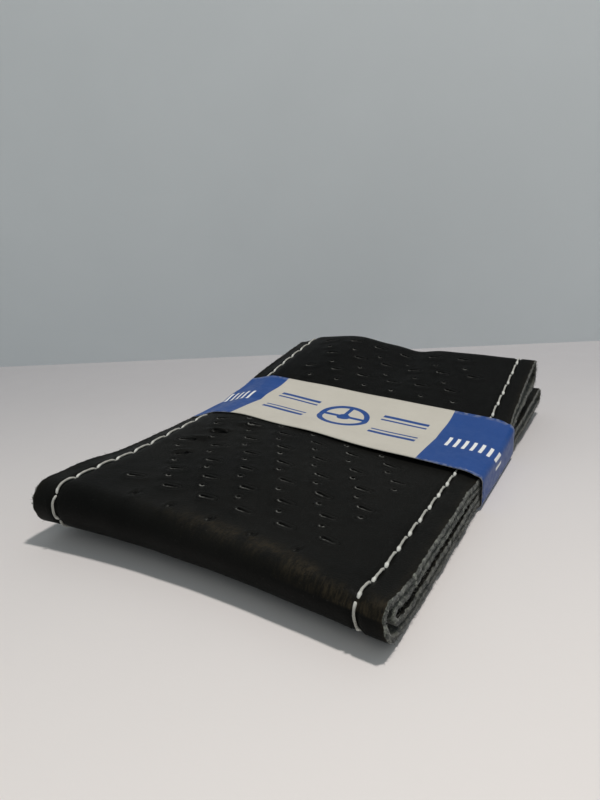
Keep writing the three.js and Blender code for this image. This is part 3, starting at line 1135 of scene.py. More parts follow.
@dataclass(frozen=True)
class MarkField:
    """The rows of marks: slits and dots in turn, running down the strip in slanting columns."""

    half_width: float = 32.0
    near_row: float = -4.07
    near_step: float = 2.45
    near_pitch: float = 11.2
    near_anchor: tuple[float, float] = (11.0, -30.8)
    far_row: float = 10.5
    far_step: float = 4.2
    far_pitch: float = 10.7
    far_slit: tuple[float, float] = (3.8, 38.7)
    far_dot: tuple[float, float] = (6.4, 32.5)
    dimple_pitch: float = 11.4
    dimple_at: tuple[float, float] = (0.9, -62.4)
    near_numbers: tuple[int, int] = (-5, 7)
    far_rows: int = 3
    slit_shift: float = 1.9
    least: tuple[float, float, float] = (0.75, 0.8, -0.35)
    most: tuple[float, float, float] = (1.25, 1.2, 0.35)
    slant_places: tuple[float, ...] = (-30.0, -12.0, 24.0)
    slant_degrees: tuple[float, ...] = (22.0, 3.0, -6.0)
    slant_drift: float = 12.0
    row_drift: float = 0.6
    window: tuple[float, float] = (5.5, 4.0)
    depth: float = 0.95
    rim: Span = Span(0.3, 0.95)
    seed: int = 11

    def marks(self) -> list[Perforation]:
        """Lists every mark of the field.

        Returns:
            The marks, row by row.
        """
        draw = np.random.default_rng(self.seed)
        found: list[Perforation] = []

        def add_row(kind: Mark, start: float, y: float, pitch: float) -> None:
            """Adds the marks of one row.

            Args:
                kind: The kind of mark.
                start: A place on X that the row passes through.
                y: The place of the row on Y.
                pitch: The distance between its marks.
            """
            first = start - pitch * math.floor((start + self.half_width) / pitch)
            for x in np.arange(first, self.half_width, pitch):
                lip, gape, drift = draw.uniform(self.least, self.most)
                degrees = float(np.interp(x, self.slant_places, self.slant_degrees))
                slant = math.radians(degrees + self.slant_drift * drift)
                place = (float(x) + drift, y + self.row_drift * drift)
                found.append(Perforation(kind, *place, slant, lip, gape))

        for number in range(*self.near_numbers):
            y = self.near_anchor[1] + self.near_row * number
            start = self.near_anchor[0] + self.near_step * number
            if number % 2 == 0:
                add_row(Mark.SLIT, start + self.slit_shift, y, self.near_pitch)
            else:
                add_row(Mark.DOT, start, y, self.near_pitch)
        for number in range(self.far_rows):
            for kind, (x, y) in ((Mark.SLIT, self.far_slit), (Mark.DOT, self.far_dot)):
                add_row(kind, x + self.far_step * number, y + self.far_row * number, self.far_pitch)
        add_row(Mark.DIMPLE, self.dimple_at[0], self.dimple_at[1], self.dimple_pitch)
        return found

    def hollow(self, x: np.ndarray, y: np.ndarray) -> np.ndarray:
        """Depth by which the grain is pressed in under each mark.

        Args:
            x: Places across the strip, one row of them.
            y: Places along the bundle, a table with one column per place.

        Returns:
            The change of height, below 0 in each hollow and a little above 0 round it.
        """
        height = np.zeros(y.shape)
        for mark in self.marks():
            columns = np.nonzero(np.abs(x - mark.x) < self.window[0])[0]
            rows = np.nonzero(np.abs(y[:, columns[0]] - mark.y) < self.window[1])[0] if len(columns) else []
            if not len(rows):
                continue
            window = np.ix_(rows, columns)
            distance, side = mark.local(x[columns][None, :], y[window])
            swell = MARK_SWELL.at(distance) * np.where(side < 0, 1.0, 0.5)
            height[window] += swell - self.depth * (1 - self.rim.share(distance))
        return height


@dataclass
class PressedRims:
    """The raised lips and pits of the marks, each one a small closed shell in its hollow, with painted
    shade in the pits and a painted highlight on each near lip.
    """

    bundle: Bundle
    field: MarkField
    leather: LeatherStrip
    reach: float = 1.25
    rings: tuple[float, ...] = (0.10, 0.20, 0.28, 0.36, 0.44, 0.54, 0.68, 0.86, 1.06, 1.25)
    spokes: int = 26
    innermost: float = 0.001
    squareness: float = 4.0
    buried: float = 0.14
    lip_height: float = 0.26
    near_loss: float = 0.10
    turn_over: float = 0.35
    wall: tuple[float, float] = (0.12, 0.36)
    lip_fall: Span = Span(0.5, 1.05)
    pit_depth: float = 0.5
    dimple_depth: float = 0.2
    dimple_floor: Span = Span(0.2, 0.6)
    dimple_rim: Hump = Hump(0.2, 0.72, 0.2)
    closing: float = 0.8
    closes: Span = Span(0.02, 0.4)
    far_pit: float = 0.38
    near_pit: float = 0.26
    pit_core: float = 0.6
    fading: float = 0.88
    fades: Span = Span(0.08, 0.42)
    dimple_shine: float = 0.25
    shine: float = 1.3
    shine_at: Hump = Hump(1.0, 0.46, 0.14)
    shine_side: float = 0.3

    def profile(
        self, mark: Perforation, distance: np.ndarray, side: np.ndarray, gape: np.ndarray
    ) -> np.ndarray:
        """Height of a lip above the grain.

        Args:
            mark: The mark.
            distance: How far each place is from the mark's line.
            side: How far each place is beyond the line, below 0 on the near side.
            gape: How far the mark gapes at each place.

        Returns:
            The height at each place.
        """
        buried = self.buried * ease(distance, self.lip_fall.high, self.reach)
        if mark.kind is Mark.DIMPLE:
            floor = self.dimple_depth * (1 - self.dimple_floor.share(distance))
            return self.dimple_rim.at(distance) - floor - buried
        near_side = 0.5 - 0.5 * np.clip(side / self.turn_over, -1, 1)
        crest = mark.lip * (self.lip_height - self.near_loss * near_side)
        wall = ease(distance, self.wall[0] * gape, self.wall[1] * gape)
        fall = 1 - self.lip_fall.share(distance)
        swell = MARK_SWELL.at(distance) * (0.5 + 0.5 * near_side)
        return -self.pit_depth + wall * (self.pit_depth + crest * fall + swell) - buried

    def tones(
        self, mark: Perforation, distance: np.ndarray, side: np.ndarray, taper: np.ndarray, gape: np.ndarray
    ) -> tuple[np.ndarray, np.ndarray]:
        """Masks for the painted shade in a mark's hollow and the painted highlight on its near lip.

        Args:
            mark: The mark.
            distance: How far each place is from the mark's line.
            side: How far each place is beyond the line.
            taper: How far along a slit each place is.
            gape: How far the mark gapes at each place.

        Returns:
            The mask of the painted shade and that of the painted highlight.
        """
        dimple = mark.kind is Mark.DIMPLE
        # Painted shade fills the middle of each slit and dot, reaching further on the far side.
        dark = np.where(side > 0, self.far_pit, self.near_pit) * gape
        painted_pit_shade = (1 - ease(distance, self.pit_core * dark, dark)) * (not dimple)
        # Painted highlight on the near side of the lip, fading along a slit and weaker on a dimple.
        bright = (1 - self.fading * self.fades.share(taper)) * (self.dimple_shine if dimple else 1.0)
        ridge = self.shine_at.at(distance) * np.clip(-side / self.shine_side, 0, 1) * bright
        return painted_pit_shade, np.clip(self.shine * ridge * mark.lip, 0, 1)

    def build(self, finish: bpy.types.Material) -> bpy.types.Object:
        """Builds the lips of every mark on both grain faces.

        Args:
            finish: The grain material.

        Returns:
            The finished piece.
        """
        points: list[np.ndarray] = []
        faces: list[list[int]] = []
        holes: list[np.ndarray] = []
        crests: list[np.ndarray] = []
        turn = 2 * math.pi * np.arange(self.spokes) / self.spokes
        base = 0
        for layer, up in ((3, 1), (0, -1)):
            for mark in self.field.marks():
                narrow, short = mark.squeeze()
                ring = np.array((self.innermost, *self.rings))[:, None]
                straight = mark.half() * np.tanh(self.squareness * np.cos(turn))[None, :]
                along = np.cos(turn)[None, :] * ring / narrow + straight
                beside = np.sin(turn)[None, :] * ring / short
                x = mark.x + along * math.cos(mark.slant) - beside * math.sin(mark.slant)
                y = mark.y + along * math.sin(mark.slant) + beside * math.cos(mark.slant)
                distance, side = mark.local(x, y)
                slope = self.bundle.slope(layer, x, y)
                taper = mark.taper(x, y)
                gape = mark.gape * (1.0 - self.closing * self.closes.share(taper))
                lift = self.bundle.thickness / 2 + self.leather.uneven.at(x, y)
                lift = lift + self.profile(mark, distance, side, gape)
                if up > 0:
                    lift = lift + self.leather.creased(x, y)
                length = np.hypot(1, slope)
                height = self.bundle.layer_height(layer, x, y)
                placed = np.stack([x, y - up * slope / length * lift, height + up / length * lift], axis=-1)
                points.append(placed.reshape(-1, 3))
                painted_pit_shade, crest = self.tones(mark, distance, side, taper, gape)
                holes.append(painted_pit_shade.ravel())
                crests.append(crest.ravel())
                for i in range(len(self.rings)):
                    for j in range(self.spokes):
                        a, b = base + i * self.spokes + j, base + i * self.spokes + (j + 1) % self.spokes
                        face = [a, a + self.spokes, b + self.spokes, b]
                        faces.append(face if up > 0 else face[::-1])
                first = [base + j for j in range(self.spokes)]
                last = [base + len(self.rings) * self.spokes + j for j in range(self.spokes)]
                faces.append(first if up > 0 else first[::-1])
                faces.append(last[::-1] if up > 0 else last)
                base += placed.shape[0] * placed.shape[1]
        piece = make_piece("pressed_rims", np.concatenate(points), faces)
        piece.data.materials.append(finish)
        paint_points(piece, "pit_shade_mask", np.concatenate(holes))
        paint_points(piece, "crest", np.concatenate(crests))
        paint_points(piece, "worn", np.zeros(base))
        return piece


@dataclass
class LeatherStrip:
    """The strip itself: grain and flesh side, cut edges, seam grooves and holes."""

    bundle: Bundle
    path: StripPath
    field: MarkField
    seam_inset: float = 6.9
    groove: float = 0.5
    corner: float = 0.28
    column_step: float = 0.85
    ragged: SoftWaves = SoftWaves(seed=5, wavelength=1.9, height=0.13, waves=24)
    frayed: SoftWaves = SoftWaves(seed=6, wavelength=9.0, height=0.10)
    uneven: SoftWaves = SoftWaves(seed=3, wavelength=26.0, height=0.10)
    flesh_columns: int = 18
    seam_beside: tuple[float, ...] = (-1.6, -1.0, -0.5, 0.0, 0.5, 1.0, 1.6)
    seam_clear: float = 2.4
    margin_steps: tuple[float, ...] = (0.0, 0.6, 2.2, 4.2)
    groove_wall: Span = Span(0.35, 1.5)
    flesh_share: float = 0.5
    ragged_stretch: float = 3.0
    fray_inset: float = 0.15
    crease_lip: Hump = Hump(0.6, 1.5, 1.0)
    crease_cut: Hump = Hump(0.42, 0.0, 0.8)
    wear_places: tuple[float, ...] = (-30.0, 18.6, 27.4, 35.3, 40.6)
    wear_line: tuple[float, ...] = (-63.5, -65.1, -67.8, -69.8, -71.6)
    wear_spread: float = 2.6
    wear_in: Span = Span(-26.0, 16.0)
    edge_wear: float = 0.5
    upward: float = 0.3
    creases: tuple[tuple[float, float, float, float], ...] = (
        (-32.0, -25.5, -20.0, -21.5),
        (-34.0, -31.5, -22.0, -28.0),
        (-26.0, -17.5, -14.0, -14.5),
        (-31.0, -41.0, -23.5, -36.5),
    )

    def creased(self, x: np.ndarray, y: np.ndarray) -> np.ndarray:
        """Short creases in the grain beside the band.

        Args:
            x: Places across the strip.
            y: Places along the bundle.

        Returns:
            The change of height, below 0 in each crease.
        """
        height = np.zeros(np.broadcast(x, y).shape)
        for from_x, from_y, to_x, to_y in self.creases:
            length = math.hypot(to_x - from_x, to_y - from_y)
            run_x, run_y = (to_x - from_x) / length, (to_y - from_y) / length
            along = (x - from_x) * run_x + (y - from_y) * run_y
            beside = (y - from_y) * run_x - (x - from_x) * run_y
            fade = ease(along, 0, length / 2) * (1 - ease(along, length / 2, length))
            height = height + fade * (self.crease_lip.at(beside) - self.crease_cut.at(beside))
        return height

    def grain_columns(self) -> np.ndarray:
        """Chooses the places across the grain side, close together at the seams and the holes.

        Returns:
            The places on X, from left to right.
        """
        seam = self.bundle.strip_width / 2 - self.seam_inset
        beside = np.array(self.seam_beside)
        reach = seam - self.seam_clear
        middle = np.linspace(-reach, reach, round(2 * reach / self.column_step) + 1)
        edge = self.bundle.strip_width / 2 - self.corner
        margin = edge - np.array(self.margin_steps)
        return np.concatenate([-margin, -seam + beside, middle, seam + beside, margin[::-1]])

    def build(self, finishes: tuple[bpy.types.Material, bpy.types.Material]) -> bpy.types.Object:
        """Builds the strip.

        Args:
            finishes: The grain material and the flesh material.

        Returns:
            The finished piece.
        """
        half, edge = self.bundle.thickness / 2, self.bundle.strip_width / 2
        grain_x = self.grain_columns()
        flesh_x = np.linspace(edge - self.corner, -edge + self.corner, self.flesh_columns)
        rim_lift = np.array([half - self.corner, 0.25, -0.2, -half + self.corner])
        rim_x = np.full(len(rim_lift), edge)
        x = np.concatenate([grain_x, rim_x, flesh_x, -rim_x])
        grain_lift, flesh_lift = np.full(len(grain_x), half), np.full(len(flesh_x), -half)
        lift = np.concatenate([grain_lift, rim_lift, flesh_lift, rim_lift[::-1]])
        line = self.path.trace(x)
        rows, columns = line.y.shape
        count = len(grain_x)
        grain = slice(0, count)
        relief = np.zeros((rows, columns))
        for layer in (0, 3):
            picked = np.nonzero(line.layer == layer)[0]
            face, along = np.ix_(picked, np.arange(count)), line.y[picked][:, grain]
            relief[face] += self.field.hollow(grain_x, along)
            if layer == 3:
                relief[face] += self.creased(grain_x, along)
        relief[:, grain] += self.uneven.at(x[None, grain], line.y[:, grain])
        seam = edge - self.seam_inset
        sunk = 1 - self.groove_wall.share(np.abs(np.abs(grain_x) - seam))
        relief[:, grain] -= self.groove * sunk[None, :]
        flesh_place = x[None, count:] * self.ragged_stretch
        relief[:, count:] += self.ragged.at(flesh_place, line.travel[:, count:]) * self.flesh_share
        lifted = lift[None, :] + relief
        place_x = np.broadcast_to(x, line.y.shape).copy()
        rim = np.abs(np.abs(x) - edge) < self.corner + 0.01
        rim_travel = line.travel[:, rim]
        fray = self.ragged.at(rim_travel, lift[None, rim] * self.ragged_stretch)
        fray = fray + self.frayed.at(rim_travel, x[None, rim])
        place_x[:, rim] += np.sign(x[rim])[None, :] * (fray - self.fray_inset)
        place_x += self.bundle.side_shift(x[None, :], line.y, line.z)
        place_y = line.y + line.normal_y * lifted
        points = np.stack([place_x, place_y, line.z + line.normal_z * lifted], axis=-1)
        u, v = np.meshgrid(np.arange(rows - 1), np.arange(columns), indexing="ij")
        after = (v + 1) % columns
        here, ahead = u * columns, (u + 1) * columns
        quads = np.stack([here + v, here + after, ahead + after, ahead + v], axis=-1)
        faces = quads.reshape(-1, 4).tolist()
        last = (rows - 1) * columns
        faces.append(list(range(columns - 1, -1, -1)))
        faces.append(list(range(last, last + columns)))
        piece = make_piece("folded_leather", points.reshape(-1, 3), faces)
        slots = np.ones(len(faces), dtype=np.int32)
        flesh_side = (np.arange(columns) >= count - 1).astype(np.int32)
        slots[: (rows - 1) * columns] = np.tile(flesh_side, rows - 1)
        for finish in finishes:
            piece.data.materials.append(finish)
        piece.data.polygons.foreach_set("material_index", slots)
        ridge = np.interp(x, self.wear_places, self.wear_line)
        over_fold = bell(line.y, ridge[None, :], self.wear_spread) * (line.normal_z > self.upward)
        over_fold = over_fold * self.wear_in.share(x)[None, :]
        worn = np.clip(over_fold + self.edge_wear * bell(np.abs(x), edge, 1.0)[None, :], 0, 1)
        paint_points(piece, "worn", worn)
        paint_points(piece, "pit_shade_mask", np.zeros(worn.size))
        paint_points(piece, "crest", np.zeros(worn.size))
        return piece


@dataclass
class EdgeFibres:
    """Loose fibres that stand out of the cut edges."""

    path: StripPath
    spacing: float = 0.17
    longest: float = 1.15
    shortest: float = 0.2
    radius: float = 0.055
    inset: float = 0.12
    jitter: float = 0.08
    lifts: tuple[float, float] = (-0.7, 0.62)
    lean: float = 0.75
    outward: tuple[float, float] = (0.25, 1.0)
    shortening: float = 1.3
    corners: tuple[float, float, float] = (0.0, 2.1, 4.2)
    seed: int = 31

    def build(self, finish: bpy.types.Material) -> bpy.types.Object:
        """Builds every fibre as one piece.

        Args:
            finish: The flesh material.

        Returns:
            The finished piece.
        """
        shape = self.path.bundle
        draw = np.random.default_rng(self.seed)
        points: list[np.ndarray] = []
        for hand in Hand:
            edge = hand.value * (shape.strip_width / 2 - self.inset)
            line = self.path.trace(np.array([edge]))
            travel = line.travel[:, 0]
            at = np.arange(travel[0], travel[-1], self.spacing)
            at = at + draw.uniform(-self.jitter, self.jitter, len(at))
            lift = draw.uniform(*self.lifts, len(at))
            y, z = np.interp(at, travel, line.y[:, 0]), np.interp(at, travel, line.z[:, 0])
            normal_y = np.interp(at, travel, line.normal_y[:, 0])
            normal_z = np.interp(at, travel, line.normal_z[:, 0])
            x = edge + shape.side_shift(np.full_like(at, edge), y, z)
            root = np.stack([x, y + normal_y * lift, z + normal_z * lift], axis=-1)
            lean = draw.normal(0.0, self.lean, (len(at), 3))
            lean[:, 0] = hand.value * draw.uniform(*self.outward, len(at))
            length = draw.uniform(self.shortest, self.longest, (len(at), 1)) ** self.shortening
            tip = root + unit(lean) * length
            side = unit(np.cross(lean, np.array([0.3, 1.0, 0.2])))
            above = unit(np.cross(lean, side))
            for turn in self.corners:
                points.append(root + self.radius * (math.cos(turn) * side + math.sin(turn) * above))
            points.append(tip)
        right, left = np.stack(points[:4], axis=1), np.stack(points[4:], axis=1)
        corners = np.concatenate([right.reshape(-1, 3), left.reshape(-1, 3)])
        faces: list[list[int]] = []
        for base in range(0, len(corners), 4):
            faces += [[base, base + 1, base + 3], [base + 1, base + 2, base + 3]]
            faces += [[base + 2, base, base + 3], [base + 2, base + 1, base]]
        piece = make_piece("cut_edge_fibres", corners, faces)
        piece.data.materials.append(finish)
        return piece


@dataclass
class EdgeSeam:
    """One row of stitches along a long edge, each stitch an arched twisted thread."""

    hand: Hand
    path: StripPath
    pitch: float
    hole_at: float
    seam_inset: float = 6.9
    radius: float = 0.36
    arch: float = 0.2
    dive: float = 0.9
    slant: float = 0.22
    bead: float = 0.18
    groove: float = 0.5
    steps: int = 14
    sides: int = 12
    ply: int = 3
    twist: float = 2.4
    covered: float = 0.985
    plunge: float = 0.07
    seated: float = 0.95
    arch_shape: float = 0.7
    arch_variety: float = 0.35
    slant_variety: float = 0.3
    wander: float = 0.06
    ply_relief: float = 0.12
    name: str = "edge_seam"

    def build(self, finish: bpy.types.Material) -> bpy.types.Object:
        """Builds every stitch of the seam as one piece.

        Args:
            finish: The thread material.

        Returns:
            The finished piece.
        """
        shape = self.path.bundle
        x = self.hand.value * (shape.strip_width / 2 - self.seam_inset)
        line = self.path.trace(np.array([x]))
        travel = line.travel[:, 0]
        top = np.nonzero(line.layer == 3)[0]
        anchor = float(np.interp(self.hole_at, line.y[top, 0], travel[top]))
        first = anchor % self.pitch
        starts = first + self.pitch * np.arange(int((travel[-1] - first) / self.pitch))
        t = np.linspace(0.0, 1.0, self.steps)
        at = starts[:, None] + t[None, :] * self.pitch * self.covered
        draw = np.random.default_rng(21 + self.hand.value)
        vary = draw.uniform(-1.0, 1.0, (len(starts), 3))
        ends = np.exp(-t / self.plunge) + np.exp(-(1 - t) / self.plunge)
        seat = shape.thickness / 2 - self.groove + self.radius * self.seated
        arched = self.arch * np.sin(math.pi * t) ** self.arch_shape * (1 + self.arch_variety * vary[:, :1])
        lift = seat + arched - self.dive * ends[None, :]
        slanted = self.slant * (t - 0.5)[None, :] * (1 + self.slant_variety * vary[:, 1:2])
        sideways = slanted + self.wander * vary[:, 2:3]
        follow_y = np.interp(at, travel, line.y[:, 0])
        follow_z = np.interp(at, travel, line.z[:, 0])
        centre = np.stack(
            [
                x + sideways + shape.side_shift(np.full_like(at, x), follow_y, follow_z),
                follow_y + np.interp(at, travel, line.normal_y[:, 0]) * lift,
                follow_z + np.interp(at, travel, line.normal_z[:, 0]) * lift,
            ],
            axis=-1,
        )
        run = unit(np.gradient(centre, axis=1))
        level = np.array([1.0, 0.0, 0.0])
        beside = unit(level - (run @ level)[..., None] * run)
        above = np.cross(beside, run)
        angle = 2 * math.pi * np.arange(self.sides) / self.sides
        turned = 2 * math.pi * at[..., None] / (self.ply * self.twist)
        strand = np.cos(self.ply * (angle[None, None, :] - turned))
        swell = 1 + self.bead * bell(t, 0.13, 0.07) + self.bead * 0.4 * bell(t, 0.88, 0.07)
        radius = self.radius * swell[None, :, None] * (1 + self.ply_relief * strand)
        ring = (
            centre[:, :, None, :]
            + radius[..., None] * np.cos(angle)[None, None, :, None] * beside[:, :, None, :]
            + radius[..., None] * np.sin(angle)[None, None, :, None] * above[:, :, None, :]
        )
        per_stitch = self.steps * self.sides
        faces: list[list[int]] = []
        for stitch in range(len(starts)):
            base = stitch * per_stitch
            for step in range(self.steps - 1):
                for side in range(self.sides):
                    a = base + step * self.sides + side
                    b = base + step * self.sides + (side + 1) % self.sides
                    faces.append([a, a + self.sides, b + self.sides, b])
            faces.append([base + side for side in range(self.sides)])
            tail = base + (self.steps - 1) * self.sides
            faces.append([tail + side for side in reversed(range(self.sides))])
        piece = make_piece(self.name, ring.reshape(-1, 3), faces)
        piece.data.materials.append(finish)
        # Mask of the painted highlight on the beads at both ends of each stitch.
        bead_highlight = np.clip(1.2 * bell(t, 0.10, 0.10) + 0.5 * bell(t, 0.9, 0.08), 0, 1)
        paint_points(piece, "bead_highlight", np.tile(np.repeat(bead_highlight, self.sides), len(starts)))
        return piece


@dataclass
class PaperBand:
    """The printed paper wrapped round the bundle, its ends lapped underneath."""

    bundle: Bundle
    width: float = 36.5
    thickness: float = 0.22
    clearance: float = 0.5
    over_leather: float = 1.5
    far_squeeze: float = 0.45
    near_squeeze: float = 0.4
    right_lift: float = 0.6
    corner: float = 1.9
    lap: float = 22.0
    lap_gap: float = 0.13
    edge_steps: int = 26
    floor_gap: float = 0.02
    longest_step: float = 1.8
    ramp: float = 5.0
    bend_steps: int = 9
    top_steps: int = 60
    squeeze_from: float = 6.0
    rightwards: Span = Span(-10.0, 30.0)
    rub: float = 1.2
    buckle: SoftWaves = SoftWaves(seed=9, wavelength=16.0, height=0.06)

    def path(self) -> np.ndarray:
        """The middle line of the paper at the middle of the band, seen from the near end.

        Returns:
            X and Z of the line, one row per point.
        """
        low = self.thickness / 2 + self.floor_gap
        high = low + self.thickness + self.lap_gap
        side = self.bundle.strip_width / 2 + self.clearance
        centre = self.bundle.band_centre

        def top(x: float) -> float:
            """Gives the height of the paper on the top side."""
            leather = self.bundle.layer_height(3, np.array([x]), np.array([centre]))
            return float(leather[0]) + self.over_leather

        def bend(x: float, z: float, start: float, radius: float) -> list[tuple[float, float]]:
            """Gives the points of a quarter turn about a centre."""
            angles = start + np.linspace(0, math.pi / 2, self.bend_steps)
            return [(x + radius * math.cos(a), z + radius * math.sin(a)) for a in angles]

        flap, r = self.lap / 2, self.corner
        points = [(-flap, high), (flap + 1, high), (flap + 1 + self.ramp, low)]
        points += bend(side - r, low + r, -math.pi / 2, r)
        points += bend(side - r, top(side) - r, 0.0, r)
        points += [(x, top(x)) for x in np.linspace(side - r, -side + r, self.top_steps)[1:-1]]
        points += bend(-side + r, top(-side) - r, math.pi / 2, r)
        points += bend(-side + r, low + r, math.pi, r)
        points += [(flap, low)]
        return self.evenly(np.array(points))

    def evenly(self, points: np.ndarray) -> np.ndarray:
        """Divides the long straight parts of a line into short steps.

        Args:
            points: The points of the line.

        Returns:
            The points with the new ones between them.
        """
        out = [points[0]]
        for start, end in zip(points[:-1], points[1:]):
            parts = max(1, round(float(np.linalg.norm(end - start)) / self.longest_step))
            out += [start + (end - start) * (i + 1) / parts for i in range(parts)]
        return np.array(out)

    def build(self, finish: bpy.types.Material) -> bpy.types.Object:
        """Builds the band.

        Args:
            finish: The printed paper material.

        Returns:
            The finished piece.
        """
        line = self.path()
        centre = self.bundle.band_centre
        y = centre + np.linspace(-0.5, 0.5, self.edge_steps) * self.width
        x, z = line[:, :1], line[:, 1:]
        middle_top = self.bundle.layer_height(3, x, np.full_like(x, centre))
        share = np.clip((z - 1.0) / (middle_top - 1.0), 0, 1)
        lifted = z + share * (self.bundle.layer_height(3, x, y[None, :]) - middle_top)
        far_edge = centre + self.width / 2
        squeeze = self.far_squeeze * ease(y[None, :], centre - self.squeeze_from, far_edge)
        rightwards = self.rightwards.share(x)
        pressed = self.near_squeeze * (1 - rightwards) - self.right_lift * rightwards
        squeeze = squeeze + pressed * ease(-y[None, :], -centre, self.width / 2 - centre)
        lifted = lifted + share * (self.buckle.at(x, y[None, :]) - squeeze)
        sideways = np.broadcast_to(x, lifted.shape)
        lengthways = np.broadcast_to(y[None, :], lifted.shape)
        grid = np.stack([sideways, lengthways, lifted], axis=-1)
        along = np.gradient(grid, axis=0)
        across = np.gradient(grid, axis=1)
        normal = unit(np.cross(across, along))
        outer = grid + normal * self.thickness / 2
        inner = grid - normal * self.thickness / 2
        rows, columns = lifted.shape
        points = np.concatenate([outer.reshape(-1, 3), inner.reshape(-1, 3)])
        size = rows * columns
        faces: list[list[int]] = []
        for i in range(rows - 1):
            for j in range(columns - 1):
                a, b = i * columns + j, i * columns + j + 1
                c, d = a + columns, b + columns
                faces.append([a, b, d, c])
                faces.append([size + a, size + c, size + d, size + b])
        for i in range(rows - 1):
            a, c = i * columns, (i + 1) * columns
            faces.append([a, c, size + c, size + a])
            b, d = a + columns - 1, c + columns - 1
            faces.append([b, size + b, size + d, d])
        last = (rows - 1) * columns
        for j in range(columns - 1):
            faces.append([j, size + j, size + j + 1, j + 1])
            faces.append([last + j, last + j + 1, size + last + j + 1, size + last + j])
        piece = make_piece("printed_band", points, faces)
        piece.data.materials.append(finish)
        steps = np.linalg.norm(np.diff(line, axis=0), axis=1)
        travel = np.concatenate([[0.0], np.cumsum(steps)])
        top_row = int(np.argmin(np.abs(line[:, 0]) + 100 * (line[:, 1] < 5)))
        print_along = -(travel - travel[top_row])
        stretch = np.repeat(print_along[:, None], columns, axis=1).ravel()
        from_middle = np.tile(y - centre, rows)
        half = self.width / 2
        rim = np.tile(ease(np.abs(y - centre), half - self.rub, half), rows)
        paint_points(piece, "print_along", np.concatenate([stretch, stretch]))
        paint_points(piece, "print_across", np.concatenate([from_middle, from_middle]))
        paint_points(piece, "print_face", np.concatenate([np.ones(size), np.zeros(size)]))
        paint_points(piece, "worn", np.concatenate([rim, rim]))
        return piece


# The studio


@dataclass(frozen=True)
class Lamp:
    """One soft rectangular lamp."""

    name: str
    place: tuple[float, float, float]
    target: tuple[float, float, float]
    size: float
    power: float
    colour: Colour

    def build(self) -> bpy.types.Object:
        """Hangs the lamp and aims it.

        Returns:
            The lamp.
        """
        data = bpy.data.lights.new(self.name, "AREA")
        data.shape, data.size = "SQUARE", self.size
        data.energy, data.color = self.power, self.colour
        lamp = bpy.data.objects.new(self.name, data)
        lamp.location = self.place
        aim = Vector(self.target) - Vector(self.place)
        lamp.rotation_euler = aim.to_track_quat("-Z", "Y").to_euler()
        bpy.context.scene.collection.objects.link(lamp)
        return lamp


@dataclass
class Studio:
    """A pale floor with a pale wall behind it, soft lamps and the camera."""

    wall_from: tuple[float, float] = (-0.2177, 0.0372)
    wall_to: tuple[float, float] = (0.0386, 0.1827)
    wall_height: float = 0.30
    reach: float = 1.6
    camera_place: tuple[float, float, float] = (85.1, -160.9, 84.2)
    pitch: float = 18.83
    roll: float = 2.84
    heading: float = 30.90
    lens: float = 28.44
    sensor: float = 36.0
    sky: Colour = (0.80, 0.94, 1.0)
    sky_strength: float = 0.29
    flat_steps: int = 12

    def flat(
        self, name: str, corners: list[tuple[float, float, float]], finish: bpy.types.Material
    ) -> bpy.types.Object:
        """Makes one flat part of the studio, divided into even squares.

        Args:
            name: The name of the part.
            corners: Its four corners, in metres.
            finish: Its material.

        Returns:
            The part.
        """
        steps = self.flat_steps
        a, b, c, d = (np.array(corner) for corner in corners)
        s = np.linspace(0, 1, steps + 1)[:, None, None]
        t = np.linspace(0, 1, steps + 1)[None, :, None]
        points = (a * (1 - s) + b * s) * (1 - t) + (d * (1 - s) + c * s) * t
        row = steps + 1
        starts = [i * row + j for i in range(steps) for j in range(steps)]
        faces = [[start, start + row, start + row + 1, start + 1] for start in starts]
        piece = make_piece(name, points.reshape(-1, 3) / MM, faces)
        piece.data.materials.append(finish)
        return piece

    def camera(self) -> bpy.types.Object:
        """Places the camera at the angle and distance of the picture.

        Returns:
            The camera.
        """
        data = bpy.data.cameras.new("picture_camera")
        data.sensor_width, data.lens = self.sensor, self.lens
        data.clip_start, data.clip_end = 0.01, 20.0
        camera = bpy.data.objects.new("picture_camera", data)
        pitch, roll, heading = (math.radians(a) for a in (self.pitch, self.roll, self.heading))
        level, lean = math.cos(roll), math.sin(roll)
        right = (level, -lean * math.sin(pitch), -lean * math.cos(pitch))
        down = (-lean, -level * math.sin(pitch), -level * math.cos(pitch))
        ahead = (0.0, math.cos(pitch), -math.sin(pitch))
        cosine, sine = math.cos(heading), math.sin(heading)

        def turned(way: tuple[float, float, float]) -> Vector:
            """Turns a direction from the camera's heading to the object's axes."""
            return Vector((way[0] * cosine - way[1] * sine, way[0] * sine + way[1] * cosine, way[2]))

        axes = [turned(right), -turned(down), -turned(ahead)]
        matrix = Matrix.Identity(4)
        for column, axis in enumerate(axes):
            for row in range(3):
                matrix[row][column] = axis[row]
        matrix.translation = Vector(self.camera_place) * MM
        camera.matrix_world = matrix
        bpy.context.scene.collection.objects.link(camera)
        bpy.context.scene.camera = camera
        return camera

    def build(
        self, floor_finish: bpy.types.Material, wall_finish: bpy.types.Material, lamps: list[Lamp]
    ) -> None:
        """Builds the floor, the wall, the lamps, the sky light and the camera.

        Args:
            floor_finish: The material of the floor.
            wall_finish: The material of the wall.
            lamps: The lamps to hang.
        """
        a, b = np.array(self.wall_from), np.array(self.wall_to)
        along = (b - a) / np.linalg.norm(b - a)
        left, right = a - along * self.reach, b + along * self.reach
        edge, top = self.reach * 2, self.wall_height
        floor_corners = [(-edge, -edge, 0), (edge, -edge, 0), (edge, edge, 0), (-edge, edge, 0)]
        self.flat("studio_floor", floor_corners, floor_finish)
        self.flat("studio_wall", [(*left, 0), (*right, 0), (*right, top), (*left, top)], wall_finish)
        for lamp in lamps:
            lamp.build()
        world = bpy.data.worlds.new("studio_light")
        bpy.context.scene.world = world
        world.use_nodes = True
        background = world.node_tree.nodes["Background"]
        background.inputs["Color"].default_value = opaque(self.sky)
        background.inputs["Strength"].default_value = self.sky_strength
        self.camera()


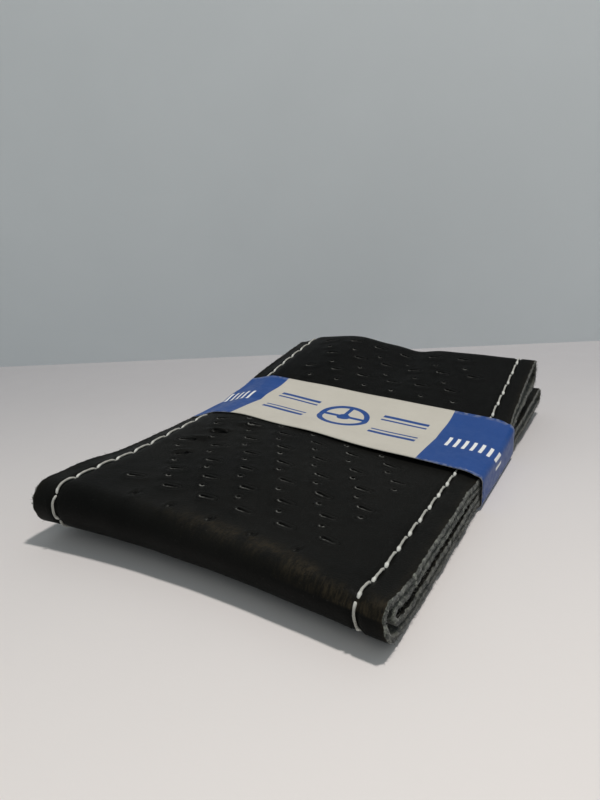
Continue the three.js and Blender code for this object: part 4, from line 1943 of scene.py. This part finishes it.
def dress(piece: bpy.types.Object, slot: str, *nodes: str) -> None:
    """Ties a piece to the frame.

    Args:
        piece: The piece.
        slot: The record's material slot for its finish.
        nodes: The solids that it stands for.
    """
    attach(piece, "root")
    if nodes:
        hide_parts(*nodes)
    LOG.info("%s: %d faces, slot %s", piece.name, len(piece.data.polygons), slot)


def main() -> None:
    """Builds the studio, the finishes and every piece, and ties them to the frame."""
    logging.basicConfig(level=logging.INFO, format="%(name)s: %(message)s")
    effects = EffectGroups()
    bundle = Bundle()
    path = StripPath(bundle)
    grain = GrainFinish(effects).build()
    flesh = FleshFinish(effects).build()
    white_thread = ThreadFinish(
        effects, "white_thread", (0.74, 0.73, 0.67), (0.36, 0.35, 0.31), (0.22, 0.21, 0.18)
    ).build()
    black_thread = ThreadFinish(
        effects, "dark_thread", (0.03, 0.03, 0.03), (0.022, 0.022, 0.022), (0.012, 0.012, 0.012)
    ).build()
    paper = PaperFinish(effects).build()

    studio = Studio()
    floor = StudioFinish(effects, "pale_floor", (0.46, 0.445, 0.45), (0.44, 0.425, 0.43)).build()
    wall = StudioFinish(
        effects, "pale_wall", (0.70, 0.73, 0.74), (0.65, 0.68, 0.69), one_sided=True
    ).build()
    lamps = [
        Lamp("overhead_lamp", (0.14, 0.10, 0.8), (0.0, 0.0, 0.0), 0.06, 4.2, (1.0, 0.965, 0.94)),
        Lamp("near_right_lamp", (0.35, -0.45, 0.5), (0.1, -0.15, 0.0), 0.5, 0.45, (1.0, 0.95, 0.9)),
    ]
    studio.build(floor, wall, lamps)

    field_of_marks = MarkField()
    leather = LeatherStrip(bundle, path, field_of_marks)
    strip = leather.build((grain, flesh))
    dress(strip, "leather", "leather_strip")
    rims = PressedRims(bundle, field_of_marks, leather).build(grain)
    dress(rims, "leather")
    fibres = EdgeFibres(path).build(flesh)
    dress(fibres, "leather")
    right = EdgeSeam(
        Hand.RIGHT, path, 6.68, -63.9, radius=0.28, slant=-0.34, bead=0.7, name="edge_seam_right"
    ).build(white_thread)
    dress(right, "thread", "edge_thread_right")
    left = EdgeSeam(
        Hand.LEFT, path, 6.88, -63.6, radius=0.3, arch=0.3, slant=0.15, bead=0.2, name="edge_seam_left"
    ).build(white_thread)
    dress(left, "thread", "edge_thread_left")
    band = PaperBand(bundle).build(paper)
    dress(band, "paper", "paper_band")
    lacing = bpy.data.objects["lacing_thread"]
    lacing.data.materials.clear()
    lacing.data.materials.append(black_thread)
    length = float(path.trace(np.array([0.0])).travel[-1, 0]) * MM

    bpy.context.scene.view_settings.view_transform = "Standard"


if __name__ == "__main__":
    main()
